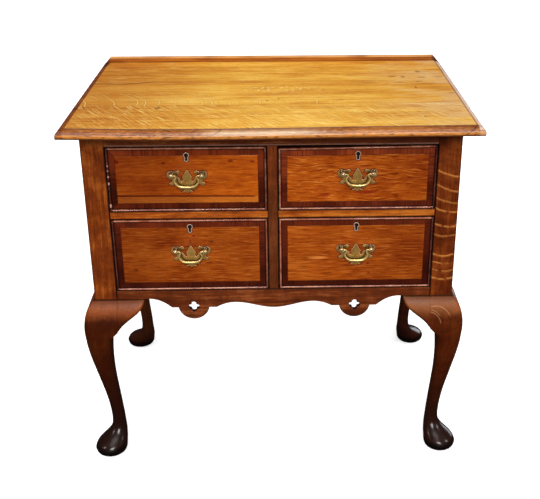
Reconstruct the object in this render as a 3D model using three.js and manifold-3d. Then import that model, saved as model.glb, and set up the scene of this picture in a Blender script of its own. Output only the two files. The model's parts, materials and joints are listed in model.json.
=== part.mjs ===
// An oak lowboy: a small four-drawer dressing table on cabriole legs with pad feet.
// Millimetres, +Z up. The front of the case faces -Y and its right-hand end is at +X.
// The origin is on the floor, below the middle of the whole piece.
import * as THREE from 'three';
import { mergeVertices } from 'three/addons/utils/BufferGeometryUtils.js';
import Module from 'manifold-3d';

const wasm = await Module();
wasm.setup();

// Driving dimensions of the case.
const caseWidth = 706;
const caseDepth = 436;
const kneeLine = 365;
const postWidth = 44.5;
const railDepth = 20;
const upperOpening = 129.5;
const lowerOpening = 152.5;
const midRailHeight = 16;
const topRailHeight = 32.5;
const apronRailHeight = 20;
const muntinWidth = 20;
const gap = 0.3;
const overrun = 1;

// The top, its moulded edge and the strip that stands along its back.
const topThickness = 17;
const overhangSide = 31;
const overhangFront = 52;
const overhangBack = 6;
const mouldingWidth = 15;
const mouldingStep = 1.6;
const mouldingFillet = 0.9;
const noseHeight = 5;
const noseEase = 1.3;
const frontBoardWidth = 150;
const middleBoardWidth = 147;
const upstandHeight = 12;
const upstandThickness = 10;
const upstandFootInset = 4;
const upstandTopInset = 19;
const upstandEase = 1.5;

// The cabriole leg: knee, ankle and pad foot.
const kneeProjection = 24;
const kneeLedge = 3.5;
const kneeHeight = 81;
const seamHeight = 61;
const calfInner = 28;
const ankleHeight = 80;
const ankleHalfWidth = 13.4;
const frontAnkleInset = 20.8;
const rearAnkleInset = 30;
const padHeight = 14;
const padRadius = 33;
const frontPadInset = 4.2;
const rearPadInset = 8;
const postArris = 0.8;

// The knee blocks, shaped on in line with the knees.
const earLength = 52;
const earTipHeight = 3;
const earTipSetback = 3;
const earEase = 4;

// The front apron: its cut edge, its two drops with their pierced quatrefoils, and how thin it is
// behind the cut edge.
const apronCentreDrop = 22;
const apronHollowDrop = 9.5;
const apronFlatDrop = 20;
const apronInnerFlat = 15;
const apronOuterFlat = 13;
const apronEarClearance = 10.5;
const apronWeb = 10;
const apronWebDrop = 2;
const pendantRadius = 30.8;
const pendantCentreDrop = 15;
const quatrefoilDrop = 18.6;
const quatrefoilReach = 6.2;
const quatrefoilLobe = 5;

// Sides, back and drawer runners.
const sidePanelThickness = 16;
const sidePanelSetback = 2;
const sideArchRise = 12;
const sideArchFoot = 8;
const backThickness = 12;
const runnerThickness = 16;
const runnerLip = 13;
const guideHeight = 10;
const stopLength = 15;
const stopHeight = 12;
const stopSetIn = 8.7;

// Tenons: on the rails and the apron, on the muntin, and along the side panels.
const tenonLength = 24;
const tenonThickness = 8;
const tenonShoulder = 3;
const stubTenonLength = 6;
const muntinTenonLength = 10;
const panelTenonLength = 12;

// Drawers. The wear is how far the upper right one's top edge has come down at its left end.
const drawerGap = 1.5;
const upperRightWear = 3.5;
const frontThickness = 19;
const beadWidth = 3.6;
const beadHeight = 2.6;
const sideThickness = 9;
const sideTopDrop = 2;
const backTopDrop = 6;
const bottomThickness = 6;
const bottomHeight = 8;
const grooveDepth = 4.5;
const lapLength = 13;
const tailPitch = 38;
const tailRootShare = 0.56;
const tailSlope = 1 / 7;

// Locks with their keyhole rims.
const lockWidth = 54;
const lockHeight = 36;
const lockDepth = 9.5;
const rimRadius = 5.5;
const rimFootWidth = 7.4;
const rimHeight = 18;
const rimWall = 1.9;
const rimProud = 0.4;
const keyholeDropUpper = 19.2;
const keyholeDropLower = 18.7;

// Handles: a pierced-outline plate with two ball-headed posts, and a swan-neck bail.
const plateWidth = 75.4;
const plateHeight = 47;
const plateThickness = 1.6;
const platePeak = 7;
const postSpacing = 56.6;
const ballRadius = 4.6;
const ballReach = 14.5;
const neckRadius = 2.2;
const studRadius = 2.1;
const nutRadius = 6;
const nutThickness = 3;
const bailDrop = 22.6;
const bailPinRadius = 1.35;
const bailArmRadius = 1.5;
const bailMiddleRadius = 2.3;
const boreDepth = 7;
const handleDropUpper = 51;
const handleDropLower = 61.5;

// Derived places.
const halfWidth = caseWidth / 2;
const apronTop = kneeLine + apronRailHeight;
const lowerTop = apronTop + lowerOpening;
const upperBottom = lowerTop + midRailHeight;
const upperTop = upperBottom + upperOpening;
const caseTop = upperTop + topRailHeight;
const topSurface = caseTop + topThickness;
const openingOuter = halfWidth - postWidth;
const openingInner = muntinWidth / 2;
const openingWidth = openingOuter - openingInner;
const openingCentre = (openingOuter + openingInner) / 2;
const drawerLength = caseDepth - backThickness - stopSetIn - stopLength - gap;
const cuspHeight = kneeLine - kneeHeight;
const tenonFront = (railDepth - tenonThickness) / 2;
const panelOuter = halfWidth - sidePanelSetback;
const panelTenonOuter = panelOuter - (sidePanelThickness - tenonThickness) / 2;
const frontReach = -overhangFront;
const backReach = caseDepth + Math.max(kneeProjection, padRadius - rearPadInset);
const middleY = (frontReach + backReach) / 2;

// How many flats stand in for a curve.
const curveFacets = 5;
const easeFacets = 2;
const barFacets = 8;
const nutFacets = 6;
const ballFacets = 8;
const ballBands = 5;
const mouldingFacets = 4;
const beadFacets = 4;
const legCornerFacets = 3;
const earFacets = 6;
const bailBends = 26;

// Finishes.
const honeyOak = [0xb4742c, 0.32];
const darkOak = [0x5a3014, 0.38];
const paleOak = [0xa9835a, 0.7];
const brass = [0x9c8348, 0.35];

const model = new THREE.Group();
model.name = 'lowboy';
model.position.y = -middleY;

function addPiece(parent, name, geometry, [color, roughness], metalness = 0) {
  const material = new THREE.MeshStandardMaterial({ color, roughness, metalness });
  const mesh = new THREE.Mesh(geometry, material);
  mesh.name = name;
  parent.add(mesh);
}

// Turns a mesh right way out if its volume comes out negative.
function facingOut(geometry) {
  const index = geometry.index.array;
  const [a, b, c] = [new THREE.Vector3(), new THREE.Vector3(), new THREE.Vector3()];
  let volume = 0;
  for (let i = 0; i < index.length; i += 3) {
    a.fromBufferAttribute(geometry.attributes.position, index[i]);
    b.fromBufferAttribute(geometry.attributes.position, index[i + 1]);
    c.fromBufferAttribute(geometry.attributes.position, index[i + 2]);
    volume += a.dot(b.cross(c));
  }
  if (volume < 0) {
    for (let i = 0; i < index.length; i += 3) {
      [index[i], index[i + 1]] = [index[i + 1], index[i]];
    }
  }
  geometry.computeVertexNormals();
  return geometry;
}

// A closed body through a row of rings that all have the same number of points.
function loft(rings) {
  const count = rings[0].length;
  const points = rings.flat();
  const index = [];
  for (let row = 0; row + 1 < rings.length; row += 1) {
    for (let i = 0; i < count; i += 1) {
      const a = row * count + i;
      const b = row * count + ((i + 1) % count);
      index.push(a, b, b + count, a, b + count, a + count);
    }
  }
  for (const [row, turned] of [[0, true], [rings.length - 1, false]]) {
    const middle = points.length;
    const sum = rings[row].reduce((total, p) => total.add(p), new THREE.Vector3());
    points.push(sum.divideScalar(count));
    for (let i = 0; i < count; i += 1) {
      const a = row * count + i;
      const b = row * count + ((i + 1) % count);
      index.push(...(turned ? [b, a, middle] : [a, b, middle]));
    }
  }
  const geometry = new THREE.BufferGeometry();
  geometry.setAttribute('position', new THREE.Float32BufferAttribute(
    points.flatMap((p) => [p.x, p.y, p.z]), 3));
  geometry.setIndex(index);
  return facingOut(geometry);
}

function toSolid(geometry) {
  const bare = geometry.clone();
  for (const name of ['normal', 'uv']) {
    bare.deleteAttribute(name);
  }
  const merged = mergeVertices(bare);
  return new wasm.Manifold(new wasm.Mesh({
    numProp: 3,
    vertProperties: merged.attributes.position.array,
    triVerts: new Uint32Array(merged.index.array),
  }));
}

function toGeometry(solid) {
  const mesh = solid.getMesh();
  const geometry = new THREE.BufferGeometry();
  geometry.setAttribute('position', new THREE.BufferAttribute(mesh.vertProperties, 3));
  geometry.setIndex(new THREE.BufferAttribute(mesh.triVerts, 1));
  geometry.computeVertexNormals();
  return geometry;
}

// A geometry with others joined to it and others cut from it.
function shaped(body, { join = [], cut = [] }) {
  const joined = join.reduce((solid, extra) => solid.add(toSolid(extra)), toSolid(body));
  return toGeometry(cut.reduce((solid, tool) => solid.subtract(toSolid(tool)), joined));
}

function block(x0, x1, y0, y1, z0, z1) {
  const geometry = new THREE.BoxGeometry(x1 - x0, y1 - y0, z1 - z0);
  return geometry.translate((x0 + x1) / 2, (y0 + y1) / 2, (z0 + z1) / 2);
}

// A board seen from the front: its outline lies in x and z, its thickness runs along y.
function frontCut(shape, y0, y1) {
  const settings = { depth: y1 - y0, bevelEnabled: false, curveSegments: curveFacets };
  const geometry = new THREE.ExtrudeGeometry(shape, settings);
  geometry.applyMatrix4(new THREE.Matrix4().makeBasis(
    new THREE.Vector3(1, 0, 0), new THREE.Vector3(0, 0, 1), new THREE.Vector3(0, -1, 0)));
  return geometry.translate(0, y1, 0);
}

// A board seen from the side: its outline lies in y and z, its thickness runs along x.
function sideCut(shape, x0, x1, curveSegments = curveFacets) {
  const settings = { depth: x1 - x0, bevelEnabled: false, curveSegments };
  const geometry = new THREE.ExtrudeGeometry(shape, settings);
  geometry.applyMatrix4(new THREE.Matrix4().makeBasis(
    new THREE.Vector3(0, 1, 0), new THREE.Vector3(0, 0, 1), new THREE.Vector3(1, 0, 0)));
  return geometry.translate(x0, 0, 0);
}

// A shape built for the front left corner, carried to another corner of the case.
function mirrored(geometry, side, end) {
  const copy = geometry.index ? geometry.clone() : mergeVertices(geometry);
  copy.scale(side, end, 1);
  if (end < 0) {
    copy.translate(0, caseDepth, 0);
  }
  return facingOut(copy);
}

const corners = [
  ['front_left', 1, 1],
  ['front_right', -1, 1],
  ['rear_left', 1, -1],
  ['rear_right', -1, -1],
];

// The top: three boards, thumb moulded on the front and both ends.
// Each row is an inset from the edge and a height above the underside.
function mouldingRows() {
  const rows = [[noseEase, 0], [0, noseEase], [0, noseHeight]];
  const rise = topThickness - mouldingStep - noseHeight;
  const run = mouldingWidth - mouldingFillet;
  for (let i = 1; i <= mouldingFacets; i += 1) {
    const angle = (Math.PI / 2) * (i / mouldingFacets);
    rows.push([run * (1 - Math.cos(angle)), noseHeight + rise * Math.sin(angle)]);
  }
  rows.push([mouldingWidth, topThickness - mouldingStep]);
  rows.push([mouldingWidth, topThickness]);
  return rows;
}

function topBoard(yFront, yBack, frontIsMoulded) {
  const outer = halfWidth + overhangSide;
  return loft(mouldingRows().map(([inset, height]) => {
    const x = outer - inset;
    const y = frontIsMoulded ? yFront + inset : yFront;
    const z = caseTop + height;
    return [[-x, y], [x, y], [x, yBack], [-x, yBack]].map(([px, py]) => new THREE.Vector3(px, py, z));
  }));
}

// The strip along the back of the top. Its ends slope in towards its upper edge, and their feet
// follow the moulding down.
function upstand(back) {
  const outer = halfWidth + overhangSide;
  const high = topSurface + upstandHeight;
  const front = back - upstandThickness;
  const feet = mouldingRows().filter(([inset]) => inset > upstandFootInset);
  feet.push([upstandTopInset + feet.length * gap, topThickness]);
  const half = feet.map(([footInset, height], i) => {
    const low = caseTop + height + gap;
    const topInset = upstandTopInset + i * gap;
    const section = new THREE.Shape();
    section.moveTo(front, low);
    section.lineTo(back, low);
    section.lineTo(back, high);
    section.lineTo(front + upstandEase, high);
    section.quadraticCurveTo(front, high, front, high - upstandEase);
    return section.getPoints(easeFacets).map(({ x: y, y: z }) => {
      const inset = THREE.MathUtils.mapLinear(z, low, high, footInset, topInset);
      return new THREE.Vector3(outer - inset + gap, y, z);
    });
  });
  const turned = half.map((ring) => ring.map(({ x, y, z }) => new THREE.Vector3(-x, y, z)));
  return loft([...turned, ...half.reverse()]);
}

function addTop() {
  const back = caseDepth + overhangBack;
  const firstJoint = -overhangFront + frontBoardWidth;
  const secondJoint = firstJoint + middleBoardWidth;
  addPiece(model, 'top_front_board', topBoard(-overhangFront, firstJoint, true), honeyOak);
  addPiece(model, 'top_middle_board', topBoard(firstJoint + gap, secondJoint, false), honeyOak);
  addPiece(model, 'top_back_board', topBoard(secondJoint + gap, back, false), honeyOak);
  addPiece(model, 'back_upstand', upstand(back), honeyOak);
}

// How far the knee stands out beyond the case at a share of the way down to its cusp.
const kneeSwellShare = 0.7;
const kneeCrownShare = 0.8;
function kneeOut(downShare) {
  const swell = Math.sin((Math.PI / 2) * (downShare / kneeCrownShare) ** kneeSwellShare);
  return kneeLedge + (kneeProjection - kneeLedge) * swell;
}

// Leg sections: from cusp to ankle, and from ankle to pad. Each row is the share of the way
// down, then the shares of the change in the section's place and in its width.
const shankShares = [
  [0.07, -0.02, 0.09], [0.17, 0.02, 0.245], [0.27, 0.1, 0.4], [0.37, 0.22, 0.555],
  [0.49, 0.375, 0.706], [0.63, 0.585, 0.848], [0.77, 0.777, 0.957], [0.9, 0.92, 1.005],
  [1, 1, 1],
];
const footShares = [
  [0.18, -0.02, 0.023], [0.35, 0.006, 0.112], [0.485, 0.16, 0.285], [0.605, 0.38, 0.49],
  [0.73, 0.635, 0.72], [0.86, 0.87, 0.91], [1, 1, 1],
];
const padShares = [[0.43, 0.968], [0.8, 0.86], [1, 0.72]];
const kneeDownShares = [0, 0.05, 0.14, 0.26, 0.4, 0.57];
const cuspShares = [0, 0.5, 1];

// Corner radii as shares of half a section's width: at the cusp and at the round of the ankle.
const outerRoundShare = 0.6;
const sideRoundShare = 0.3;
const roundedShare = 0.98;

// One section of a leg: a square with its corners rounded, from -outer to inner along x and y.
// The radii are those of the outer corner, the two side corners and the inner corner.
function legSection(outer, inner, z, outerRadius, sideRadius, innerRadius) {
  const corner = [
    [-1, -1, outerRadius], [1, -1, sideRadius], [1, 1, innerRadius], [-1, 1, sideRadius],
  ];
  return corner.flatMap(([sx, sy, radius], quarter) => {
    const cx = (sx < 0 ? -outer : inner) - sx * radius;
    const cy = (sy < 0 ? -outer : inner) - sy * radius;
    return Array.from({ length: legCornerFacets + 1 }, (_, i) => {
      const angle = Math.PI + (Math.PI / 2) * (quarter + i / legCornerFacets);
      return new THREE.Vector3(cx + radius * Math.cos(angle), cy + radius * Math.sin(angle), z);
    });
  });
}

// A leg in one piece with the corner post above it, for the front left corner. The insets say
// how far the middles of the ankle and of the pad stand in from the corner of the case.
function legRings(ankleInset, padInset) {
  const rings = [];
  const sharp = postArris;
  rings.push(legSection(0, postWidth, caseTop - gap, sharp, sharp, sharp));
  rings.push(legSection(0, postWidth, kneeLine, sharp, sharp, sharp));
  const calfHalf = (calfInner + kneeOut(1)) / 2;
  const calfInset = (calfInner - kneeOut(1)) / 2;
  const eased = (share, end) => sharp + (end - sharp) * share;
  const cornerAt = (share) => eased(Math.sqrt(share), calfHalf * outerRoundShare);
  for (const share of kneeDownShares) {
    const z = kneeLine - gap - kneeHeight * share;
    rings.push(legSection(kneeOut(share), postWidth, z, cornerAt(share), sharp, sharp));
  }
  const seamShare = seamHeight / kneeHeight;
  for (const share of cuspShares) {
    const down = seamShare + (1 - seamShare) * share;
    const inner = postWidth + (calfInner - postWidth) * share;
    const side = eased(share, calfHalf * sideRoundShare);
    rings.push(legSection(kneeOut(down), inner, kneeLine - kneeHeight * down, cornerAt(down), side, side));
  }
  for (const [down, place, width] of shankShares) {
    const inset = calfInset + (ankleInset - calfInset) * place;
    const half = calfHalf + (ankleHalfWidth - calfHalf) * width;
    const z = cuspHeight + (ankleHeight - cuspHeight) * down;
    const outer = half * (outerRoundShare + (roundedShare - outerRoundShare) * Math.sqrt(down));
    const side = half * (sideRoundShare + (roundedShare - sideRoundShare) * Math.sqrt(down));
    rings.push(legSection(half - inset, half + inset, z, outer, side, side));
  }
  for (const [down, place, width] of footShares) {
    const inset = ankleInset + (padInset - ankleInset) * place;
    const half = ankleHalfWidth + (padRadius - ankleHalfWidth) * width;
    const z = ankleHeight + (padHeight - ankleHeight) * down;
    const radius = half * roundedShare;
    rings.push(legSection(half - inset, half + inset, z, radius, radius, radius));
  }
  for (const [down, width] of padShares) {
    const half = padRadius * width;
    const radius = half * roundedShare;
    const z = padHeight * (1 - down);
    rings.push(legSection(half - padInset, half + padInset, z, radius, radius, radius));
  }
  return rings;
}

// The tenons at the left ends of the apron, the middle rail and the top rail: floor and top.
const railTenons = [
  [kneeLine + tenonShoulder, apronTop - tenonShoulder],
  [lowerTop + tenonShoulder, upperBottom - tenonShoulder],
  [upperTop + tenonShoulder, caseTop - gap - tenonShoulder * 2],
];

// A tenon that starts inside its board at x and stands out to its end.
function railTenon(x, end, [z0, z1], slack = 0) {
  return block(Math.min(x, end), Math.max(x, end), tenonFront - slack,
    tenonFront + tenonThickness + slack, z0 - slack, z1 + slack);
}

// The long tongue of a side panel, in the post at the front left corner.
function panelTenon(yInside, yEnd, slack = 0) {
  return block(-panelTenonOuter - slack, -panelTenonOuter + tenonThickness + slack,
    Math.min(yInside, yEnd), Math.max(yInside, yEnd),
    kneeLine + tenonShoulder - slack, caseTop - gap - tenonShoulder + slack);
}

function addLegs() {
  const mortiseEnd = -openingOuter - tenonLength - gap;
  const panelMortise = panelTenon(postWidth - panelTenonLength - gap, postWidth + overrun, gap);
  const railMortises = railTenons.map((levels) => railTenon(-openingOuter + overrun, mortiseEnd, levels, gap));
  const bareFront = loft(legRings(frontAnkleInset, frontPadInset)).translate(-halfWidth, 0, 0);
  const bareRear = loft(legRings(rearAnkleInset, rearPadInset)).translate(-halfWidth, 0, 0);
  const front = shaped(bareFront, { cut: [...railMortises, panelMortise] });
  const rear = shaped(bareRear, { cut: [panelMortise] });
  for (const [name, side, end] of corners) {
    addPiece(model, `${name}_leg`, mirrored(end > 0 ? front : rear, side, end), darkOak);
  }
}

// A knee block beside the front left leg, its lower edge an ogee from the cusp to the tip.
// x runs from the case corner along the rail and y from the rail's face inwards.
const earNearShares = [0.27, 0.59];
const earFarShares = [0.96, 0.46];
function kneeBlock(backDepth) {
  const lowestDrop = seamHeight;
  const curve = new THREE.CubicBezierCurve(
    new THREE.Vector2(postWidth + gap, lowestDrop),
    new THREE.Vector2(postWidth + earLength * earNearShares[0], lowestDrop * earNearShares[1]),
    new THREE.Vector2(postWidth + earLength * earFarShares[0], lowestDrop * earFarShares[1]),
    new THREE.Vector2(postWidth + earLength, earTipHeight),
  );
  const stations = earFacets + 1;
  const easeDepth = earEase * 2;
  return loft(Array.from({ length: stations + 1 }, (_, station) => {
    const along = station / stations;
    const { x, y: drop } = curve.getPoint(along);
    const face = Array.from({ length: earFacets + 1 }, (__, i) => {
      const down = Math.max(gap, drop * (i / earFacets));
      const eased = Math.max(0, down - Math.max(0, drop - easeDepth)) / easeDepth;
      const y = -kneeOut(down / kneeHeight) + earTipSetback * along ** 2 + earEase * eased ** 2;
      return new THREE.Vector3(x, y, kneeLine - down);
    });
    return [
      ...face,
      new THREE.Vector3(x, backDepth, kneeLine - drop),
      new THREE.Vector3(x, backDepth, kneeLine - gap),
    ];
  }));
}

function addKneeBlocks() {
  const frontBlock = kneeBlock(railDepth).translate(-halfWidth, 0, 0);
  const swap = new THREE.Matrix4().makeBasis(
    new THREE.Vector3(0, 1, 0), new THREE.Vector3(1, 0, 0), new THREE.Vector3(0, 0, 1));
  const sideBlock = facingOut(kneeBlock(sidePanelSetback + sidePanelThickness).applyMatrix4(swap));
  sideBlock.translate(-halfWidth, 0, 0);
  for (const [name, side, end] of corners) {
    if (end > 0) {
      addPiece(model, `${name}_knee_block`, mirrored(frontBlock, side, end), darkOak);
    }
    addPiece(model, `${name}_side_knee_block`, mirrored(sideBlock, side, end), darkOak);
  }
}

// Four lobes round a centre; neighbouring arcs meet in a cusp on each diagonal.
function quatrefoil(centreX, centreZ) {
  const path = new THREE.Path();
  const cusp = (quatrefoilReach + Math.sqrt(2 * quatrefoilLobe ** 2 - quatrefoilReach ** 2)) / 2;
  const sweep = Math.atan2(cusp, cusp - quatrefoilReach);
  for (let lobe = 0; lobe < 4; lobe += 1) {
    const turn = (Math.PI / 2) * lobe;
    const x = centreX + quatrefoilReach * Math.cos(turn);
    const z = centreZ + quatrefoilReach * Math.sin(turn);
    path.absarc(x, z, quatrefoilLobe, turn - sweep, turn + sweep, false);
  }
  path.closePath();
  return path;
}

// The apron's outline, drawn along its lower edge from the left end to the right end.
const apronSwingShare = 0.36;
const apronHollowShare = 0.676;
function apronShape() {
  const end = openingOuter - gap;
  const level = (drop) => kneeLine - drop;
  const pendantHalf = Math.sqrt(pendantRadius ** 2 - (apronFlatDrop - pendantCentreDrop) ** 2);
  const dip = Math.asin((apronFlatDrop - pendantCentreDrop) / pendantRadius);
  const outerFlatX = openingCentre + pendantHalf + apronOuterFlat;
  const ogeeEndX = openingOuter - earLength - apronEarClearance;
  const ogeeX = (outerFlatX + ogeeEndX) / 2;
  const innerFlatX = openingCentre - pendantHalf - apronInnerFlat;
  const crestX = innerFlatX * apronHollowShare;
  const hollowX = (innerFlatX + crestX) / 2;
  const shape = new THREE.Shape();
  shape.moveTo(-end, apronTop);
  shape.lineTo(-end, kneeLine);
  shape.lineTo(-ogeeEndX, kneeLine);
  shape.quadraticCurveTo(-ogeeX, kneeLine, -outerFlatX, level(apronFlatDrop));
  shape.lineTo(-openingCentre - pendantHalf, level(apronFlatDrop));
  shape.absarc(-openingCentre, level(pendantCentreDrop), pendantRadius, Math.PI + dip, -dip, false);
  shape.lineTo(-innerFlatX, level(apronFlatDrop));
  shape.quadraticCurveTo(-hollowX, level(apronHollowDrop), -crestX, level(apronHollowDrop));
  const swing = crestX * apronSwingShare;
  shape.bezierCurveTo(-crestX + swing, level(apronHollowDrop), -swing, level(apronCentreDrop),
    0, level(apronCentreDrop));
  shape.bezierCurveTo(swing, level(apronCentreDrop), crestX - swing, level(apronHollowDrop),
    crestX, level(apronHollowDrop));
  shape.quadraticCurveTo(hollowX, level(apronHollowDrop), innerFlatX, level(apronFlatDrop));
  shape.lineTo(openingCentre - pendantHalf, level(apronFlatDrop));
  shape.absarc(openingCentre, level(pendantCentreDrop), pendantRadius, Math.PI + dip, -dip, false);
  shape.lineTo(outerFlatX, level(apronFlatDrop));
  shape.quadraticCurveTo(ogeeX, kneeLine, ogeeEndX, kneeLine);
  shape.lineTo(end, kneeLine);
  shape.lineTo(end, apronTop);
  for (const side of [-1, 1]) {
    shape.holes.push(quatrefoil(side * openingCentre, level(quatrefoilDrop)));
  }
  return shape;
}

function addFrontFrame() {
  const end = openingOuter - gap;
  const [apronLevels, middleLevels, topLevels] = railTenons;
  const tenonEnd = openingOuter + tenonLength;
  const bothEnds = (levels) => [-1, 1].map(
    (side) => railTenon(side * (end - overrun), side * tenonEnd, levels));
  const muntinTenon = (z0, z1, slack = 0) => block(
    -tenonThickness / 2 - slack, tenonThickness / 2 + slack,
    tenonFront - slack, tenonFront + tenonThickness + slack, z0, z1);
  const low = apronTop - muntinTenonLength;
  const high = upperTop + muntinTenonLength;

  const topRail = block(-end, end, 0, railDepth, upperTop, caseTop - gap);
  addPiece(model, 'top_rail', shaped(topRail, {
    join: bothEnds(topLevels),
    cut: [muntinTenon(upperTop - overrun, high + gap, gap)],
  }), darkOak);

  const post = block(-openingInner, openingInner, 0, railDepth, apronTop + gap, upperTop - gap);
  const stub = openingInner - stubTenonLength;
  addPiece(model, 'muntin', shaped(post, {
    join: [muntinTenon(low, apronTop + overrun), muntinTenon(upperTop - overrun, high)],
    cut: [-1, 1].map((side) => railTenon(
      side * (stub - gap), side * (openingInner + overrun), middleLevels, gap)),
  }), darkOak);

  const rail = shaped(block(openingInner + gap, end, 0, railDepth, lowerTop, upperBottom), {
    join: [
      railTenon(end - overrun, tenonEnd, middleLevels),
      railTenon(stub, openingInner + overrun, middleLevels),
    ],
  });
  addPiece(model, 'mid_rail_left', mirrored(rail, -1, 1), darkOak);
  addPiece(model, 'mid_rail_right', rail, darkOak);

  addPiece(model, 'apron', shaped(frontCut(apronShape(), 0, railDepth), {
    join: bothEnds(apronLevels),
    cut: [
      muntinTenon(low - gap, apronTop + overrun, gap),
      block(-end, end, apronWeb, railDepth + overrun, cuspHeight, kneeLine - apronWebDrop),
    ],
  }), darkOak);
}

// A side panel between the posts, its lower edge a shallow arch between the knee blocks.
function sidePanel() {
  const y0 = postWidth + gap;
  const y1 = caseDepth - postWidth - gap;
  const foot = earLength + sideArchFoot;
  const top = caseTop - gap;
  const crown = kneeLine + sideArchRise;
  const haunch = (y1 - y0 - foot * 2) / 4;
  const shape = new THREE.Shape();
  shape.moveTo(y0, top);
  shape.lineTo(y0, kneeLine);
  shape.lineTo(y0 + foot, kneeLine);
  shape.quadraticCurveTo(y0 + foot + haunch / 2, crown, y0 + foot + haunch, crown);
  shape.lineTo(y1 - foot - haunch, crown);
  shape.quadraticCurveTo(y1 - foot - haunch / 2, crown, y1 - foot, kneeLine);
  shape.lineTo(y1, kneeLine);
  shape.lineTo(y1, top);
  const board = sideCut(shape, -panelOuter, -panelOuter + sidePanelThickness);
  const front = panelTenon(postWidth - panelTenonLength, y0 + overrun);
  return shaped(board, { join: [front, mirrored(front, 1, -1)] });
}

function addSidesAndBack() {
  addPiece(model, 'side_panel_left', sidePanel(), darkOak);
  addPiece(model, 'side_panel_right', mirrored(sidePanel(), -1, 1), darkOak);
  const end = openingOuter - gap;
  const back = block(-end, end, caseDepth - backThickness, caseDepth, kneeLine, caseTop - gap);
  addPiece(model, 'back_panel', back, paleOak);
}

// Runners: each carries a drawer side, guides it, and stops the drawer at its back end.
function addRunners() {
  const y0 = railDepth + gap;
  const y1 = caseDepth - backThickness - gap;
  const guideFront = postWidth + gap;
  const guideBack = caseDepth - postWidth - gap;
  const guideOuter = panelOuter - sidePanelThickness - gap;
  const lipInner = openingOuter - runnerLip;
  const stopFront = drawerLength + gap;
  for (const [level, top] of [['lower', apronTop], ['upper', upperBottom]]) {
    const low = top - runnerThickness;
    const high = top + guideHeight;
    const stopTop = top + stopHeight;
    const sideRunner = shaped(block(lipInner, openingOuter - gap, y0, y1, low, top), {
      join: [
        block(openingOuter - overrun, guideOuter, guideFront, guideBack, low, top),
        block(openingOuter, guideOuter, guideFront, guideBack, low, high),
        block(lipInner, openingOuter - gap, stopFront, stopFront + stopLength, low, stopTop),
      ],
    });
    addPiece(model, `${level}_runner_left`, mirrored(sideRunner, -1, 1), paleOak);
    addPiece(model, `${level}_runner_right`, sideRunner, paleOak);
    const reach = openingInner + runnerLip;
    const middleRunner = shaped(block(-reach, reach, y0, y1, low, top), {
      join: [
        block(-openingInner, openingInner, y0, y1, low, high),
        block(-reach, reach, stopFront, stopFront + stopLength, low, stopTop),
      ],
    });
    addPiece(model, `${level}_runner_middle`, middleRunner, paleOak);
  }
}

// Drawers. Each is built about the middle of its opening's floor, with y from the case front.
const drawerHalf = openingWidth / 2 - drawerGap;
const tailStart = frontThickness - lapLength;

// Middles of the dovetails along a board's edge.
function tailMiddles(low, high) {
  const count = Math.max(2, Math.round((high - low) / tailPitch));
  const pitch = (high - low) / count;
  return Array.from({ length: count }, (_, i) => low + pitch * (i + 0.5));
}

// Half the width of a dovetail, at a distance out from its root.
const tailHalf = (out) => (tailPitch * tailRootShare) / 2 + out * tailSlope;

// A tool that cuts the sockets for one end's dovetails.
function tailTool(middle, root, tip, x0, x1) {
  const reach = Math.abs(tip - root);
  const shape = new THREE.Shape();
  shape.moveTo(root, middle - tailHalf(0) - gap);
  shape.lineTo(tip, middle - tailHalf(reach) - gap);
  shape.lineTo(tip, middle + tailHalf(reach) + gap);
  shape.lineTo(root, middle + tailHalf(0) + gap);
  return sideCut(shape, x0, x1);
}

function drawerLevels(opening, wear) {
  const sideLow = gap;
  const frontTop = opening - drawerGap;
  const wornTop = frontTop - wear;
  const grooveLow = sideLow + bottomHeight;
  const sideTop = wornTop - sideTopDrop;
  return {
    sideLow,
    sideTop,
    frontTop,
    wornTop,
    grooveLow,
    grooveHigh: grooveLow + bottomThickness + gap * 2,
    frontTails: tailMiddles(grooveLow - gap, sideTop),
    backTails: tailMiddles(grooveLow + bottomThickness + gap * 2, sideTop - backTopDrop),
  };
}

// The plate's outline from its peak round to its foot, in shares of half its width and of
// its height; a sharp corner lies between each run and the next.
const plateRunsShares = [
  [[0, 0], [0.09, 0.14], [0.172, 0.235], [0.257, 0.32]],
  [[0.257, 0.32], [0.2, 0.405], [0.25, 0.485], [0.34, 0.44], [0.372, 0.37], [0.472, 0.288],
    [0.505, 0.2], [0.424, 0.165], [0.337, 0.128]],
  [[0.337, 0.128], [0.369, 0.07], [0.464, 0.032], [0.6, 0.075], [0.75, 0.042], [0.88, 0.055],
    [0.97, 0.13], [1, 0.215], [0.965, 0.31], [0.88, 0.395], [0.79, 0.5], [0.885, 0.56]],
  [[0.885, 0.56], [0.84, 0.635], [0.743, 0.672], [0.66, 0.63], [0.597, 0.592], [0.53, 0.66],
    [0.44, 0.76], [0.358, 0.853]],
  [[0.358, 0.853], [0.29, 0.835], [0.225, 0.86], [0.257, 0.925]],
  [[0.257, 0.925], [0.164, 0.895], [0.093, 0.92], [0, 1]],
];

function plateShape(centreZ) {
  const half = plateRunsShares.flatMap((run, i) => {
    const curve = new THREE.SplineCurve(run.map(([x, z]) => new THREE.Vector2(x, z)));
    const points = curve.getPoints(run.length - 1);
    return i === 0 ? points : points.slice(1);
  });
  const place = (share, side) => new THREE.Vector2(
    share.x * side * (plateWidth / 2), centreZ + platePeak - share.y * plateHeight);
  const right = half.map((share) => place(share, 1));
  const left = half.slice(1, -1).reverse().map((share) => place(share, -1));
  return new THREE.Shape([...right, ...left]);
}

// A round bar along y.
function bar(radius, facets, x, z, y0, y1) {
  return new THREE.CylinderGeometry(radius, radius, y1 - y0, facets).translate(x, (y0 + y1) / 2, z);
}

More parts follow.
